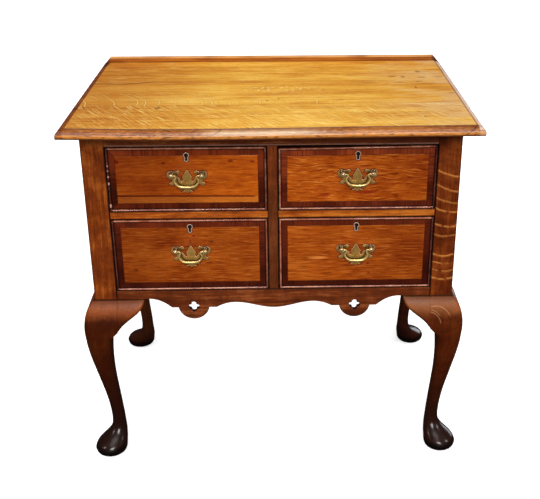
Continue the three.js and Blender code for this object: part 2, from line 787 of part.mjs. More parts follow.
function handlePlate(z) {
  const face = -gap - plateThickness;
  const middle = face + plateThickness / 2;
  const join = [];
  const cut = [];
  for (const side of [-1, 1]) {
    const x = side * (postSpacing / 2);
    join.push(bar(neckRadius, barFacets, x, z, -ballReach, middle));
    join.push(new THREE.SphereGeometry(ballRadius, ballFacets, ballBands).translate(x, -ballReach, z));
    join.push(bar(studRadius, barFacets, x, z, middle, frontThickness + gap + nutThickness));
    join.push(bar(nutRadius, nutFacets, x, z, frontThickness + gap, frontThickness + gap + nutThickness));
    const inner = x - side * (ballRadius + overrun);
    const outer = x + side * (boreDepth - ballRadius);
    const bore = new THREE.CylinderGeometry(
      bailPinRadius + gap, bailPinRadius + gap, Math.abs(outer - inner), barFacets);
    cut.push(bore.rotateZ(Math.PI / 2).translate((inner + outer) / 2, -ballReach, z));
  }
  return shaped(frontCut(plateShape(z), face, -gap), { join, cut });
}

// The bail from the middle of its drop to the end of one pin. Each row is a place, in shares
// of half the spacing of the posts and of the drop, and a share of the way from arm to middle
// thickness; the last rows are the pin, on the hinge line.
const bailShares = [
  [0, 1, 1], [0.3, 0.985, 0.94], [0.54, 0.9, 0.7], [0.7, 0.72, 0.35], [0.775, 0.5, 0.1],
  [0.76, 0.34, 0], [0.69, 0.195, 0], [0.69, 0.065, 0], [0.75, 0, 0],
];
const bailPinShares = [0.84, 0.95];

function bail(z) {
  const reach = postSpacing / 2;
  const pinEnd = reach + boreDepth - ballRadius - gap;
  const half = bailShares.map(([x, drop, swell]) => [
    x * reach, -drop * bailDrop, bailArmRadius + (bailMiddleRadius - bailArmRadius) * swell]);
  for (const share of bailPinShares) {
    half.push([share * reach, 0, bailPinRadius]);
  }
  half.push([pinEnd, 0, bailPinRadius]);
  const whole = [...half.slice(1).reverse().map(([x, drop, r]) => [-x, drop, r]), ...half];
  const route = new THREE.CatmullRomCurve3(
    whole.map(([x, drop, radius]) => new THREE.Vector3(x, drop, radius)), false, 'centripetal');
  return loft(Array.from({ length: bailBends + 1 }, (_, i) => {
    const { x, y: drop, z: radius } = route.getPoint(i / bailBends);
    const tangent = route.getTangent(i / bailBends).setZ(0).normalize();
    return Array.from({ length: barFacets }, (__, j) => {
      const angle = (2 * Math.PI * j) / barFacets;
      const across = radius * Math.cos(angle);
      return new THREE.Vector3(
        x - tangent.y * across, -ballReach + radius * Math.sin(angle), z + drop + tangent.x * across);
    });
  }));
}

// The keyhole rim: a round head above straight sides that close in a little to a round foot.
function keyholeShape(centreZ, grow) {
  const radius = rimRadius + grow;
  const foot = rimFootWidth / 2 + grow;
  const headZ = centreZ + rimHeight / 2 - rimRadius;
  const low = centreZ - rimHeight / 2 - grow;
  const side = Math.asin(foot / radius);
  const shape = new THREE.Shape();
  shape.absarc(0, headZ, radius, side - Math.PI / 2, Math.PI * 1.5 - side, false);
  shape.lineTo(-foot, low + foot / 2);
  shape.quadraticCurveTo(-foot, low, 0, low);
  shape.quadraticCurveTo(foot, low, foot, low + foot / 2);
  shape.closePath();
  return shape;
}

function lock(keyholeZ, wornTop) {
  const shape = keyholeShape(keyholeZ, 0);
  shape.holes.push(keyholeShape(keyholeZ, -rimWall));
  const caseFace = frontThickness - lockDepth + gap;
  const pipe = frontCut(shape, -rimProud, caseFace + overrun);
  const half = lockWidth / 2;
  const body = block(-half, half, caseFace, frontThickness - gap, wornTop - lockHeight, wornTop - gap);
  return shaped(pipe, { join: [body] });
}

// A drawer front with its bead, its dovetail sockets, the groove for the bottom, and the holes
// and recess for its brasses. Its top edge runs from the worn level on the left to the full one.
function drawerFront(levels, handleZ, keyholeZ) {
  const rows = [[0, frontThickness]];
  for (let i = 0; i <= beadFacets; i += 1) {
    const angle = (Math.PI * i) / beadFacets;
    rows.push([(beadWidth / 2) * (1 - Math.cos(angle)), -beadHeight * Math.sin(angle)]);
  }
  const low = drawerGap;
  const slab = loft(rows.map(([inset, y]) => {
    const x = drawerHalf - inset;
    return [[-x, low + inset], [x, low + inset], [x, levels.frontTop - inset], [-x, levels.wornTop - inset]]
      .map(([px, pz]) => new THREE.Vector3(px, y, pz));
  }));
  const past = frontThickness + overrun;
  const grooveHalf = drawerHalf - sideThickness + grooveDepth;
  const lockHalf = lockWidth / 2 + gap;
  const cut = [
    frontCut(keyholeShape(keyholeZ, gap), -overrun, past),
    block(-lockHalf, lockHalf, frontThickness - lockDepth, past,
      levels.wornTop - lockHeight - gap, levels.frontTop + overrun),
    block(-grooveHalf, grooveHalf, frontThickness - grooveDepth, past, levels.grooveLow, levels.grooveHigh),
  ];
  for (const side of [-1, 1]) {
    cut.push(bar(studRadius + gap, barFacets, side * (postSpacing / 2), handleZ, -overrun, past));
    const inner = side * (drawerHalf - sideThickness - gap);
    const outer = side * (drawerHalf + overrun);
    const [x0, x1] = [Math.min(inner, outer), Math.max(inner, outer)];
    for (const middle of levels.frontTails) {
      cut.push(tailTool(middle, past, tailStart - gap, x0, x1));
    }
  }
  return shaped(slab, { cut });
}

// A drawer side, its dovetails part of its outline, with the groove for the bottom.
function drawerSide(levels, side) {
  const root = frontThickness + gap;
  const backRoot = drawerLength - sideThickness - gap;
  const shape = new THREE.Shape();
  shape.moveTo(root, levels.sideLow);
  for (const middle of levels.frontTails) {
    const reach = root - tailStart;
    shape.lineTo(root, middle - tailHalf(0));
    shape.lineTo(tailStart, middle - tailHalf(reach));
    shape.lineTo(tailStart, middle + tailHalf(reach));
    shape.lineTo(root, middle + tailHalf(0));
  }
  shape.lineTo(root, levels.sideTop);
  shape.lineTo(backRoot, levels.sideTop);
  for (const middle of [...levels.backTails].reverse()) {
    const reach = drawerLength - backRoot;
    shape.lineTo(backRoot, middle + tailHalf(0));
    shape.lineTo(drawerLength, middle + tailHalf(reach));
    shape.lineTo(drawerLength, middle - tailHalf(reach));
    shape.lineTo(backRoot, middle - tailHalf(0));
  }
  shape.lineTo(backRoot, levels.sideLow);
  const inner = side * (drawerHalf - sideThickness);
  const outer = side * drawerHalf;
  const board = sideCut(shape, Math.min(inner, outer), Math.max(inner, outer));
  const deep = inner + side * grooveDepth;
  const open = inner - side * overrun;
  const groove = block(Math.min(deep, open), Math.max(deep, open),
    tailStart - overrun, drawerLength + overrun, levels.grooveLow, levels.grooveHigh);
  return shaped(board, { cut: [groove] });
}

// A drawer back between the sides, above the bottom board, with sockets for the sides' tails.
function drawerBack(levels) {
  const y0 = drawerLength - sideThickness;
  const low = levels.grooveHigh;
  const board = block(-drawerHalf, drawerHalf, y0, drawerLength, low, levels.sideTop - backTopDrop);
  const cut = [];
  for (const side of [-1, 1]) {
    const inner = side * (drawerHalf - sideThickness - gap);
    const outer = side * (drawerHalf + overrun);
    const [x0, x1] = [Math.min(inner, outer), Math.max(inner, outer)];
    for (const middle of levels.backTails) {
      cut.push(tailTool(middle, y0 - overrun, drawerLength + overrun, x0, x1));
    }
  }
  return shaped(board, { cut });
}

function addDrawer(name, side, floor, opening, handleDrop, keyholeDrop, wear) {
  const drawer = new THREE.Group();
  drawer.position.set(side * openingCentre, 0, floor);
  model.add(drawer);
  const levels = drawerLevels(opening, wear);
  const handleZ = levels.frontTop - handleDrop;
  const keyholeZ = levels.frontTop - keyholeDrop;
  addPiece(drawer, `${name}_drawer_front`, drawerFront(levels, handleZ, keyholeZ), honeyOak);
  addPiece(drawer, `${name}_drawer_left_side`, drawerSide(levels, -1), paleOak);
  addPiece(drawer, `${name}_drawer_right_side`, drawerSide(levels, 1), paleOak);
  addPiece(drawer, `${name}_drawer_back`, drawerBack(levels), paleOak);
  const bottomHalf = drawerHalf - sideThickness + grooveDepth - gap;
  const floorBoard = block(-bottomHalf, bottomHalf, frontThickness - grooveDepth + gap, drawerLength,
    levels.grooveLow + gap, levels.grooveHigh - gap);
  addPiece(drawer, `${name}_drawer_bottom`, floorBoard, paleOak);
  addPiece(drawer, `${name}_lock`, lock(keyholeZ, levels.wornTop), brass, 1);
  addPiece(drawer, `${name}_handle_plate`, handlePlate(handleZ), brass, 1);
  addPiece(drawer, `${name}_handle_bail`, bail(handleZ), brass, 1);
}

addTop();
addLegs();
addKneeBlocks();
addFrontFrame();
addSidesAndBack();
addRunners();
for (const [end, side, wear] of [['left', -1, 0], ['right', 1, upperRightWear]]) {
  addDrawer(`upper_${end}`, side, upperBottom, upperOpening, handleDropUpper, keyholeDropUpper, wear);
  addDrawer(`lower_${end}`, side, apronTop, lowerOpening, handleDropLower, keyholeDropLower, 0);
}

export default model;
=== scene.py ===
"""The looks of an oak lowboy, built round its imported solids.

Lengths are in metres. The front faces -Y, the right-hand end is at +X and the floor is z = 0.
"""

import json
import math

import bmesh
import bpy
import numpy as np
from mathutils import Matrix, Vector

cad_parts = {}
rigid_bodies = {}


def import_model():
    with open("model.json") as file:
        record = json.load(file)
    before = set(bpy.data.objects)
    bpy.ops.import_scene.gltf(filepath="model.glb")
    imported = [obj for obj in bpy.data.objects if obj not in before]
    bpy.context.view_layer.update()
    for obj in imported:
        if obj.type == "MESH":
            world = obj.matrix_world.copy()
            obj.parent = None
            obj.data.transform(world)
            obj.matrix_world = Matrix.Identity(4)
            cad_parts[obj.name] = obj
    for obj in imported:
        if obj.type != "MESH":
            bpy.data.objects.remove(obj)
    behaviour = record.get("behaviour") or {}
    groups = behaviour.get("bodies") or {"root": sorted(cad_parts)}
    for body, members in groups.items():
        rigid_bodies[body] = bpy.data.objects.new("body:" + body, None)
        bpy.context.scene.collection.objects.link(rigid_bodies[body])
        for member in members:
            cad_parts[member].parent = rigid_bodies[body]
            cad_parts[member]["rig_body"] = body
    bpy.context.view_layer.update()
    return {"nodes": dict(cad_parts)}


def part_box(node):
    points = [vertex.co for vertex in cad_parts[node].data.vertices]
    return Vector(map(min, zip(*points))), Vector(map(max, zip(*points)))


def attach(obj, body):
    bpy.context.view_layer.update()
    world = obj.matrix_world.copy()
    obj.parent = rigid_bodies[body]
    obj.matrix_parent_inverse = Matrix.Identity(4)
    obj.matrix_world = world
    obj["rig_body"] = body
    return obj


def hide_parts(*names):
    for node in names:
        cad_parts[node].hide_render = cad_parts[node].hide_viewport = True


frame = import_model()

# The case, its top and its legs, as the solids have them.
case_half = 0.353
case_front = -0.2045
case_depth = 0.436
case_top = 0.7155
knee_line = 0.365
post_width = 0.0445
rail_depth = 0.020
joint = 0.0003
arris = 0.0008
top_thickness = 0.017
top_side = 0.031
top_overhang = 0.052
moulding_width = 0.015
moulding_step = 0.0016
moulding_fillet = 0.0009
nose_height = 0.005
nose_ease = 0.0013
lip_round = 0.0005
knee_height = 0.081
knee_lip = 0.0035
knee_swell = 0.0205
seam_height = 0.061
ear_width = 0.052
calf_inner = 0.028
ankle_height = 0.080
ankle_half = 0.0134
pad_height = 0.014
pad_radius = 0.033
opening_centre = 0.15925
opening_top = 0.683
opening_bottom = 0.385
mid_rail_low = 0.5375
mid_rail_high = 0.5535
muntin_half = 0.010
band_width = 0.0156
bead_width = 0.0036
bead_proud = 0.00265
bead_outer = 0.3052
bead_inner = 0.0133
edge_wear = 0.0035
handle_spread = 0.0283
handle_heights = {"upper": 0.6305, "lower": 0.4745}
keyhole_heights = {"upper": 0.6623, "lower": 0.5173}
pendant_radius = 0.0308
pendant_depth = 0.015

top_half = case_half + top_side
top_front = case_front - top_overhang
top_z = case_top + top_thickness
step_x = top_half - moulding_width
step_y = top_front + moulding_width

# The top's front edge has dropped with age: by how much, over how much of the board, and the
# power that moves the lowest place to the left. Its front corners are worn round.
front_drop = 0.0035
drop_reach = 0.090
drop_lean = 0.65
corner_wear = 0.0035

# How meshes are finished: the angles, in degrees, past which an edge stays sharp and past which
# it is eased, and the distance within which points are one.
crease_angle = 35
board_crease = 30
leg_crease = 38
bead_crease = 50
eased_angle = 40
weld = 1e-7


# Shapes.


def arc(centre, radius, start, end, count=18):
    """Part of a circle: the centre plus the radius times the cosine and sine of an angle."""
    angle = np.linspace(start, end, count)
    return np.column_stack([centre[0] + radius * np.cos(angle), centre[1] + radius * np.sin(angle)])


def bend(*controls, count=14):
    """A curve drawn towards its controls, each weighted by its binomial share of the way along."""
    controls = np.array(controls, float)
    degree = len(controls) - 1
    t = np.linspace(0, 1, count)[:, None]
    return sum(
        math.comb(degree, k) * t**k * (1 - t) ** (degree - k) * control
        for k, control in enumerate(controls)
    )


def spline(rows, per=8):
    """A smooth curve through all rows: a cubic between each two, with its slope at each row half
    of the run between that row's neighbours."""
    rows = np.array(rows, float)
    padded = np.vstack([rows[:1], rows, rows[-1:]])
    t = np.linspace(0, 1, per, endpoint=False)[:, None, None]
    a, b, c, d = padded[:-3], padded[1:-2], padded[2:-1], padded[3:]
    cubic = b + 0.5 * t * (c - a + t * (2 * a - 5 * b + 4 * c - d + t * (3 * b - a - 3 * c + d)))
    return np.vstack([cubic.transpose(1, 0, 2).reshape(-1, rows.shape[1]), rows[-1:]])


def shaded(made, mesh, crease=crease_angle):
    """Puts edited points and faces back into their mesh, which is smooth except where two faces
    meet at more than the crease angle."""
    made.to_mesh(mesh)
    made.free()
    mesh.shade_smooth()
    mesh.set_sharp_from_angle(angle=math.radians(crease))
    return mesh


def finished_mesh(name, points, faces, crease=crease_angle):
    """A closed mesh that faces outward: turned inside out if its volume comes out negative."""
    mesh = bpy.data.meshes.new(name)
    mesh.from_pydata(np.asarray(points, float).tolist(), [], faces)
    made = bmesh.new()
    made.from_mesh(mesh)
    if made.calc_volume(signed=True) < 0:
        bmesh.ops.reverse_faces(made, faces=made.faces)
    return shaded(made, mesh, crease)


def lofted(name, rings, endless=False, crease=crease_angle):
    """A body through rings of equally many points: a quad between each pair of neighbours, with a
    flat face over both ends, or with its last ring joined to its first."""
    rings = np.asarray(rings, float)
    corner = np.arange(rings.shape[0] * rings.shape[1]).reshape(rings.shape[:2])
    rows = corner if endless else corner[:-1]
    below = np.roll(corner, -1, axis=0)[: len(rows)]
    quads = np.stack([rows, np.roll(rows, -1, 1), np.roll(below, -1, 1), below], axis=-1)
    faces = quads.reshape(-1, 4).tolist()
    if not endless:
        faces += [corner[0][::-1].tolist(), corner[-1].tolist()]
    return finished_mesh(name, rings.reshape(-1, 3), faces, crease)


def cut_out(name, outlines, thickness, ease, steps=2, grow=0.0):
    """A board or plate cut to an outline in x and z, facing the front with its middle at y = 0:
    the first line is its edge, the others are holes, and each arris is rounded by the ease. The
    edge can be moved out from the line."""
    curve = bpy.data.curves.new(name, "CURVE")
    curve.dimensions = "2D"
    curve.fill_mode = "BOTH"
    curve.extrude = thickness / 2 - ease
    curve.bevel_depth = ease
    curve.bevel_resolution = steps
    curve.offset = grow - ease
    for outline in outlines:
        outline = np.asarray(outline, float)
        kept = outline[np.linalg.norm(outline - np.roll(outline, 1, axis=0), axis=1) > weld * 10]
        line = curve.splines.new("POLY")
        line.points.add(len(kept) - 1)
        flat = np.column_stack([kept, np.zeros(len(kept)), np.ones(len(kept))])
        line.points.foreach_set("co", flat.ravel())
        line.use_cyclic_u = True
    drawn = bpy.data.objects.new(name, curve)
    mesh = bpy.data.meshes.new_from_object(drawn)
    bpy.data.objects.remove(drawn)
    bpy.data.curves.remove(curve)
    mesh.transform(Matrix(((1, 0, 0, 0), (0, 0, -1, 0), (0, 1, 0, 0), (0, 0, 0, 1))))
    made = bmesh.new()
    made.from_mesh(mesh)
    bmesh.ops.remove_doubles(made, verts=made.verts, dist=weld)
    bmesh.ops.recalc_face_normals(made, faces=made.faces)
    mesh.name = name
    return shaded(made, mesh)


def turned(name, profile, x, z, count=28):
    """A turned piece on a line along y: circles whose radius follows the profile's rows of
    y and radius."""
    profile = np.array(profile, float)
    angle = np.linspace(0, 2 * math.pi, count, endpoint=False)
    y = np.repeat(profile[:, :1], count, axis=1)
    across = profile[:, 1:] * np.cos(angle)
    upright = profile[:, 1:] * np.sin(angle)
    return lofted(name, np.stack([x + across, y, z + upright], axis=-1))


def joined(name, meshes):
    """Several closed meshes as one."""
    made = bmesh.new()
    for mesh in meshes:
        made.from_mesh(mesh)
    whole = bpy.data.meshes.new(name)
    made.to_mesh(whole)
    made.free()
    return whole


def at_face(mesh, depth):
    """Moves a flat mesh from y = 0 to a depth behind the face of the case."""
    mesh.transform(Matrix.Translation((0, case_front + depth, 0)))
    return mesh


def at_corner(points, side, end):
    """Points made for the front left corner of the case, with x from its left end and y from its
    front, carried to the corner on that side and at that end."""
    x, y, z = np.moveaxis(np.asarray(points, float), -1, 0)
    along = y if end > 0 else case_depth - y
    return np.stack([side * (x - case_half), case_front + along, z], axis=-1)


# Pieces.


def piece(mesh, finish, slot, body, *nodes):
    """Shows a mesh as a piece of the lowboy that moves with a body and stands for solids."""
    thing = bpy.data.objects.new(mesh.name, mesh)
    bpy.context.scene.collection.objects.link(thing)
    mesh.materials.clear()
    mesh.materials.append(finish)
    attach(thing, body)
    if nodes:
        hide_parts(*nodes)
    return thing


def eased(thing, width, segments=2):
    """Rounds every arris of a piece by a small width."""
    ease = thing.modifiers.new("eased arrises", "BEVEL")
    ease.width = width
    ease.segments = segments
    ease.limit_method = "ANGLE"
    ease.angle_limit = math.radians(eased_angle)
    ease.use_clamp_overlap = False
    ease.harden_normals = True
    return thing


def own_shape(node, finish):
    """A solid that is shown as it is, with a finish."""
    materials = frame["nodes"][node].data.materials
    materials.clear()
    materials.append(finish)


def worked_board(node, finish, slot, width=0.0005):
    """A solid's own shape as a piece with eased arrises: its loose triangles are merged, and
    those that lie in one plane become one face."""
    mesh = frame["nodes"][node].data.copy()
    mesh.name = node + "_board"
    made = bmesh.new()
    made.from_mesh(mesh)
    bmesh.ops.remove_doubles(made, verts=made.verts, dist=weld * 10)
    bmesh.ops.dissolve_limit(made, angle_limit=math.radians(1), verts=made.verts, edges=made.edges)
    shaded(made, mesh, board_crease)
    body = frame["nodes"][node]["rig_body"]
    return eased(piece(mesh, finish, slot, body, node), width)


# Finishes.


def tone(red, green, blue):
    """A colour as the eye reads it, from 0 to 255, as the amounts of light it stands for."""
    share = np.array([red, green, blue]) / 255
    light = np.where(share < 0.04045, share / 12.92, ((share + 0.055) / 1.055) ** 2.4)
    return (*light.tolist(), 1.0)


class Line:
    """A value that runs between nodes. Arithmetic on it adds Math nodes."""

    def __init__(self, finish, socket):
        self.finish = finish
        self.socket = socket

    def __add__(self, other):
        return self.finish.math("ADD", self, other)

    def __sub__(self, other):
        return self.finish.math("SUBTRACT", self, other)

    def __mul__(self, other):
        return self.finish.math("MULTIPLY", self, other)

    def __truediv__(self, other):
        return self.finish.math("DIVIDE", self, other)

    def __pow__(self, other):
        return self.finish.math("POWER", self, other)

    def __rsub__(self, other):
        return self.finish.math("SUBTRACT", other, self)

    def __rtruediv__(self, other):
        return self.finish.math("DIVIDE", other, self)

    def __abs__(self):
        return self.finish.math("ABSOLUTE", self)

    def __neg__(self):
        return self.finish.math("MULTIPLY", self, -1)

    __radd__ = __add__
    __rmul__ = __mul__


class Finish:
    """A material while it is being mixed."""

    def __init__(self, name):
        self.material = bpy.data.materials.new(name)
        self.material.use_nodes = True
        self.tree = self.material.node_tree
        self.shader = self.tree.nodes["Principled BSDF"]
        self.place = self.node("TexCoord", out="Object")
        parts = self.node("SeparateXYZ", {}, {0: self.place}).socket.node
        self.x, self.y, self.z = (Line(self, parts.outputs[i]) for i in range(3))

    def node(self, kind, settings=None, sockets=None, out=0):
        """Adds a node: its settings are set first, then its sockets are fed."""
        made = self.tree.nodes.new("ShaderNode" + kind)
        for key, value in (settings or {}).items():
            if key == "stops":
                self.set_stops(made.color_ramp, value)
            else:
                setattr(made, key, value)
        for key, value in (sockets or {}).items():
            self.feed(made.inputs[key], value)
        return Line(self, made.outputs[out])

    def feed(self, socket, value):
        """Links a line to a socket, or sets the socket to a constant."""
        if isinstance(value, Line):
            self.tree.links.new(value.socket, socket)
        else:
            socket.default_value = value

    def set_stops(self, ramp, stops):
        """Gives a colour ramp its positions and colours."""
        while len(ramp.elements) < len(stops):
            ramp.elements.new(0.5)
        for element, (position, colour) in zip(ramp.elements, stops):
            element.position = position
            element.color = colour

    def math(self, operation, *values, clamp=False):
        """One operation on values, held between nought and one if it is clamped."""
        settings = {"operation": operation, "use_clamp": clamp}
        return self.node("Math", settings, dict(enumerate(values)))

    def vector(self, x, y, z):
        """Three values as a place."""
        return self.node("CombineXYZ", {}, {0: x, 1: y, 2: z})

    def noise(self, vector, scale=1.0, detail=2.0, roughness=0.5, distortion=0.0):
        """Soft random values about one half."""
        sockets = {
            "Vector": vector,
            "Scale": scale,
            "Detail": detail,
            "Roughness": roughness,
            "Distortion": distortion,
        }
        return self.node("TexNoise", {}, sockets)

    def fade(self, value, low, high, start=0.0, end=1.0):
        """Goes from start to end as the value goes from low to high, with an eased slope."""
        sockets = {"Value": value, 1: low, 2: high, 3: start, 4: end}
        return self.node("MapRange", {"interpolation_type": "SMOOTHSTEP"}, sockets)

    def ramp(self, value, *stops):
        """The colour that a value has between stops of a position and a colour."""
        return self.node("ValToRGB", {"stops": stops}, {0: value})

    def mix(self, share, first, second, way="MIX"):
        """A colour between the first and the second."""
        settings = {"data_type": "RGBA", "blend_type": way, "clamp_factor": True}
        return self.node("Mix", settings, {0: share, 6: first, 7: second}, out=2)

    def distance(self, x, y, z=0.0):
        """How far a place lies from the origin."""
        sockets = {0: self.vector(x, y, z)}
        return self.node("VectorMath", {"operation": "LENGTH"}, sockets, out="Value")

    def least(self, first, second):
        """The smaller of two values."""
        return self.math("MINIMUM", first, second)

    def most(self, first, second):
        """The larger of two values."""
        return self.math("MAXIMUM", first, second)

    def done(self, colour, roughness, height=None, depth=0.0002, **constant):
        """Joins the mixed colour, roughness and height to the shader."""
        self.feed(self.shader.inputs["Base Color"], colour)
        self.feed(self.shader.inputs["Roughness"], roughness)
        if height is not None:
            raised = {"Height": height, "Strength": 1.0, "Distance": depth}
            self.feed(self.shader.inputs["Normal"], self.node("Bump", {}, raised))
        for key, value in constant.items():
            self.feed(self.shader.inputs[key.replace("_", " ").title().replace("Ior", "IOR")], value)
        return self.material


def streaks(f, along, across, deep, seed=0.0):
    """Oak grain as three values: broad bands, fine lines and short open pores. Each is noise
    drawn out along the grain."""
    broad = f.noise(f.vector(along * 1.8 + seed, across * 40, deep * 40), 1, 4, 0.62)
    fine = f.noise(f.vector(along * 13 + seed, across * 300, deep * 300), 1, 3, 0.65)
    pores = f.noise(f.vector(along * 70 + seed, across * 900, deep * 900), 1, 1, 0.5)
    return broad, fine, f.fade(pores, 0.58, 0.70)


def darker(f, share, colour, by):
    """The colour multiplied by another, as far as the share says."""
    return f.mix(share, colour, f.mix(1.0, colour, (*by, 1), "MULTIPLY"))


def spot(f, across, up, mark):
    """One in the middle of a mark on a flat face and nothing outside it. A mark is its place in
    that face, then how far it reaches along it and up it."""
    x, y, reach_x, reach_y = mark
    return f.fade(f.distance((across - x) / reach_x, (up - y) / reach_y), 1.0, 0.3)


def line_at(f, value, place, half):
    """One where the value is at a place, fading out on both sides."""
    return f.fade(abs(value - place), half, half * 0.25)


# Knots and dark patches in the boards of the top.
top_marks = {
    "front": [
        (-0.2166, -0.1239, 0.0085, 0.0075),
        (-0.2160, -0.1245, 0.0070, 0.0055),
        (0.283, -0.191, 0.004, 0.004),
    ],
    "middle": [
        (-0.0097, -0.0812, 0.0025, 0.007),
        (0.0127, -0.0671, 0.0022, 0.008),
        (0.0945, -0.0594, 0.014, 0.0022),
        (0.1354, -0.0802, 0.012, 0.0020),
        (0.2941, 0.0076, 0.003, 0.014),
        (0.3611, -0.0361, 0.012, 0.005),
    ],
    "back": [
        (0.2560, 0.0924, 0.013, 0.007),
        (0.2784, 0.0884, 0.006, 0.009),
        (0.3177, 0.0850, 0.013, 0.006),
        (0.2639, 0.0467, 0.013, 0.004),
        (0.3065, 0.0511, 0.011, 0.005),
        (0.2036, 0.0427, 0.026, 0.003),
        (0.3553, 0.0899, 0.013, 0.004),
        (0.3156, 0.1325, 0.008, 0.010),
    ],
}


def front_rays(f, seed):
    """The front board's rays, as a pale and a dark share: short dashes that lean across it in
    patches."""
    turn = (f.noise(f.vector(f.x * 3, f.y * 6, seed), 1, 1) - 0.5) * 0.05
    lean = f.x * 0.80 + f.y * 0.60 + turn
    run = f.x * 0.60 - f.y * 0.80
    dash = f.noise(f.vector(lean * 480, run * 20, seed), 1, 2, 0.55)
    patch = f.fade(f.noise(f.vector(f.x * 9, f.y * 22, seed), 1, 2), 0.28, 0.46)
    return f.fade(dash, 0.55, 0.63) * patch * 0.85, f.fade(dash, 0.46, 0.38) * patch


def middle_rays(f, seed):
    """The middle board's rays: a row of bowed hooks along its front half, and small curls behind
    their middle."""
    low = f.most((f.y + 0.094) / 0.070, 0.0)
    bow = f.x + low ** 1.7 * 0.042
    bow = bow + (f.noise(f.vector(f.x * 9, f.y * 5, seed), 1, 2) - 0.5) * 0.05
    saw = f.math("PINGPONG", bow, 0.0075) / 0.0075
    patch = f.fade(f.noise(f.vector(bow * 70, f.y * 7, seed), 1, 1), 0.46, 0.56)
    patch = patch * f.fade(low, 1.15, 0.95) * f.fade(f.x, 0.24, 0.06)
    curl = f.noise(f.vector(f.x * 150 + f.y * 60, f.y * 130, seed), 1, 2, 0.5)
    near = f.fade(abs(f.y), 0.030, 0.012) * f.fade(abs(f.x - 0.02), 0.10, 0.05)
    pale = f.most(f.fade(saw, 0.80, 0.97) * patch * 0.85, f.fade(curl, 0.54, 0.62) * near)
    return pale, f.fade(saw, 0.50, 0.70) * f.fade(saw, 0.88, 0.72) * patch


def back_rays(f, seed):
    """The back board's rays: fine dashes along the grain."""
    dash = f.noise(f.vector(f.x * 20 + seed, f.y * 260, 2.0), 1, 3, 0.6)
    return f.fade(dash, 0.56, 0.68) * 0.7, f.fade(dash, 0.44, 0.34)


def drop_lifted(f):
    """How far the top's front edge has dropped here, by the formula of its board."""
    share = f.math("DIVIDE", f.x + top_half, 2 * top_half, clamp=True)
    bump = f.math("SINE", share ** drop_lean * math.pi)
    return bump * bump * f.fade(f.y, top_front, top_front + drop_reach, front_drop, 0.0)


def moulding_brown(f, rise, level, blotch, seed):
    """The moulded edge of the top: brown with dark pits, a painted highlight along the crest of the nose and
    painted shade on its underside. A painted highlight lies over the middle of the front, and a painted
    reflection, with a painted glare, over the right end. The rise is the height above the underside."""
    brown = f.ramp(
        level,
        (0.38, tone(98, 44, 11)),
        (0.48, tone(138, 73, 22)),
        (0.58, tone(170, 101, 38)),
    )
    pits = f.noise(f.vector(f.x * 90 + seed, f.y * 420, f.z * 420), 1, 2, 0.6)
    brown = f.mix(f.fade(pits, 0.54, 0.66) * 0.6, brown, tone(74, 32, 12))
    brown = f.mix(f.fade(pits, 0.46, 0.36) * 0.4, brown, tone(216, 150, 84))
    # Painted highlight on the moulding's curve in the middle of the front.
    centre_highlight = f.fade(f.x, -0.15, -0.08) * f.fade(f.x, 0.12, 0.03)
    centre_highlight = centre_highlight * f.fade(rise, 0.0070, 0.0100) * f.fade(rise, 0.0153, 0.0130, 0.35, 1.0)
    brown = f.mix(centre_highlight * 0.38, brown, tone(250, 226, 184))
    brown = darker(f, f.fade(f.x, -0.10, -0.24), brown, (0.92, 0.86, 0.72))
    warm = f.fade(f.x, 0.06, 0.20) * f.fade(f.x, 0.33, 0.22)
    brown = f.mix(warm * 0.22, brown, tone(222, 140, 44))
    # Painted highlight along the crest of the nose.
    crest = f.fade(abs(rise - 0.0059), 0.0044, 0.0010) * f.fade(pits, 0.72, 0.50)
    brown = f.mix(crest * 0.52, brown, tone(246, 160, 62))
    # Painted shade on the underside of the nose.
    brown = f.mix(f.fade(rise, 0.0045, 0.0011) * 0.92, brown, tone(92, 40, 14))
    brown = darker(f, f.fade(-f.x, step_x - 0.002, step_x + 0.002), brown, (0.80, 0.66, 0.60))
    # Painted reflection in pale patches along the right end, then a painted glare on its upper curve.
    faded = f.fade(f.x, step_x + 0.0005, step_x + 0.005) * f.fade(blotch, 0.34, 0.50)
    brown = f.mix(faded * 0.45, brown, tone(232, 184, 150))
    glare = f.fade(f.x, step_x + 0.0015, step_x + 0.0035) * f.fade(rise, 0.0107, 0.0129)
    return f.mix(glare * 0.5, brown, tone(246, 224, 210))


def top_cracks(f, kind, colour, moulded, seed):
    """A dark line in the step behind the moulding, and what has opened: the front board's mitres, two cracks
    in its moulding that lean with the height, and the joints between the boards. The back board has a bruise
    at its left end."""
    step = line_at(f, abs(f.x), step_x, 0.0014)
    if kind == "front":
        step = step * f.fade(f.y, step_y - 0.0010, step_y)
        step = f.most(step, line_at(f, f.y, step_y, 0.0014))
        crack = line_at(f, f.x - f.z * 2.42, -1.8516, 0.0016) * f.fade(f.y, -0.240, -0.246)
        short_crack = line_at(f, f.x - f.z * 1.635, -0.8288, 0.0024) * f.fade(f.x, 0.336, 0.342)
        crack = f.most(crack, short_crack * f.fade(f.y, -0.240, -0.243))
        mitre = line_at(f, abs(f.x) + f.y, top_half + top_front, 0.0009) * moulded
        colour = f.mix(f.most(crack * 0.8, mitre * 0.5), colour, tone(70, 30, 12))
    colour = f.mix(step * 0.75, colour, tone(84, 36, 14))
    if kind == "front":
        broken = f.fade(f.noise(f.vector(f.x * 4, 0.0, seed), 1, 1), 0.40, 0.60)
        seam = line_at(f, f.y, -0.1066, 0.0016) * broken * 0.6
    else:
        beyond = f.x + 0.303
        opened = f.y - f.most(beyond * 0.308, beyond * -0.056)
        seam = line_at(f, opened, 0.0450, 0.0030) * f.fade(f.x, -0.215, -0.262) * 1.1
    colour = f.mix(seam * 0.85, colour, tone(76, 34, 10))
    if kind == "back":
        bruise = spot(f, f.x, f.y, (-0.374, 0.215, 0.012, 0.022))
        colour = f.mix(bruise * 0.9, colour, tone(58, 22, 8))
    return colour


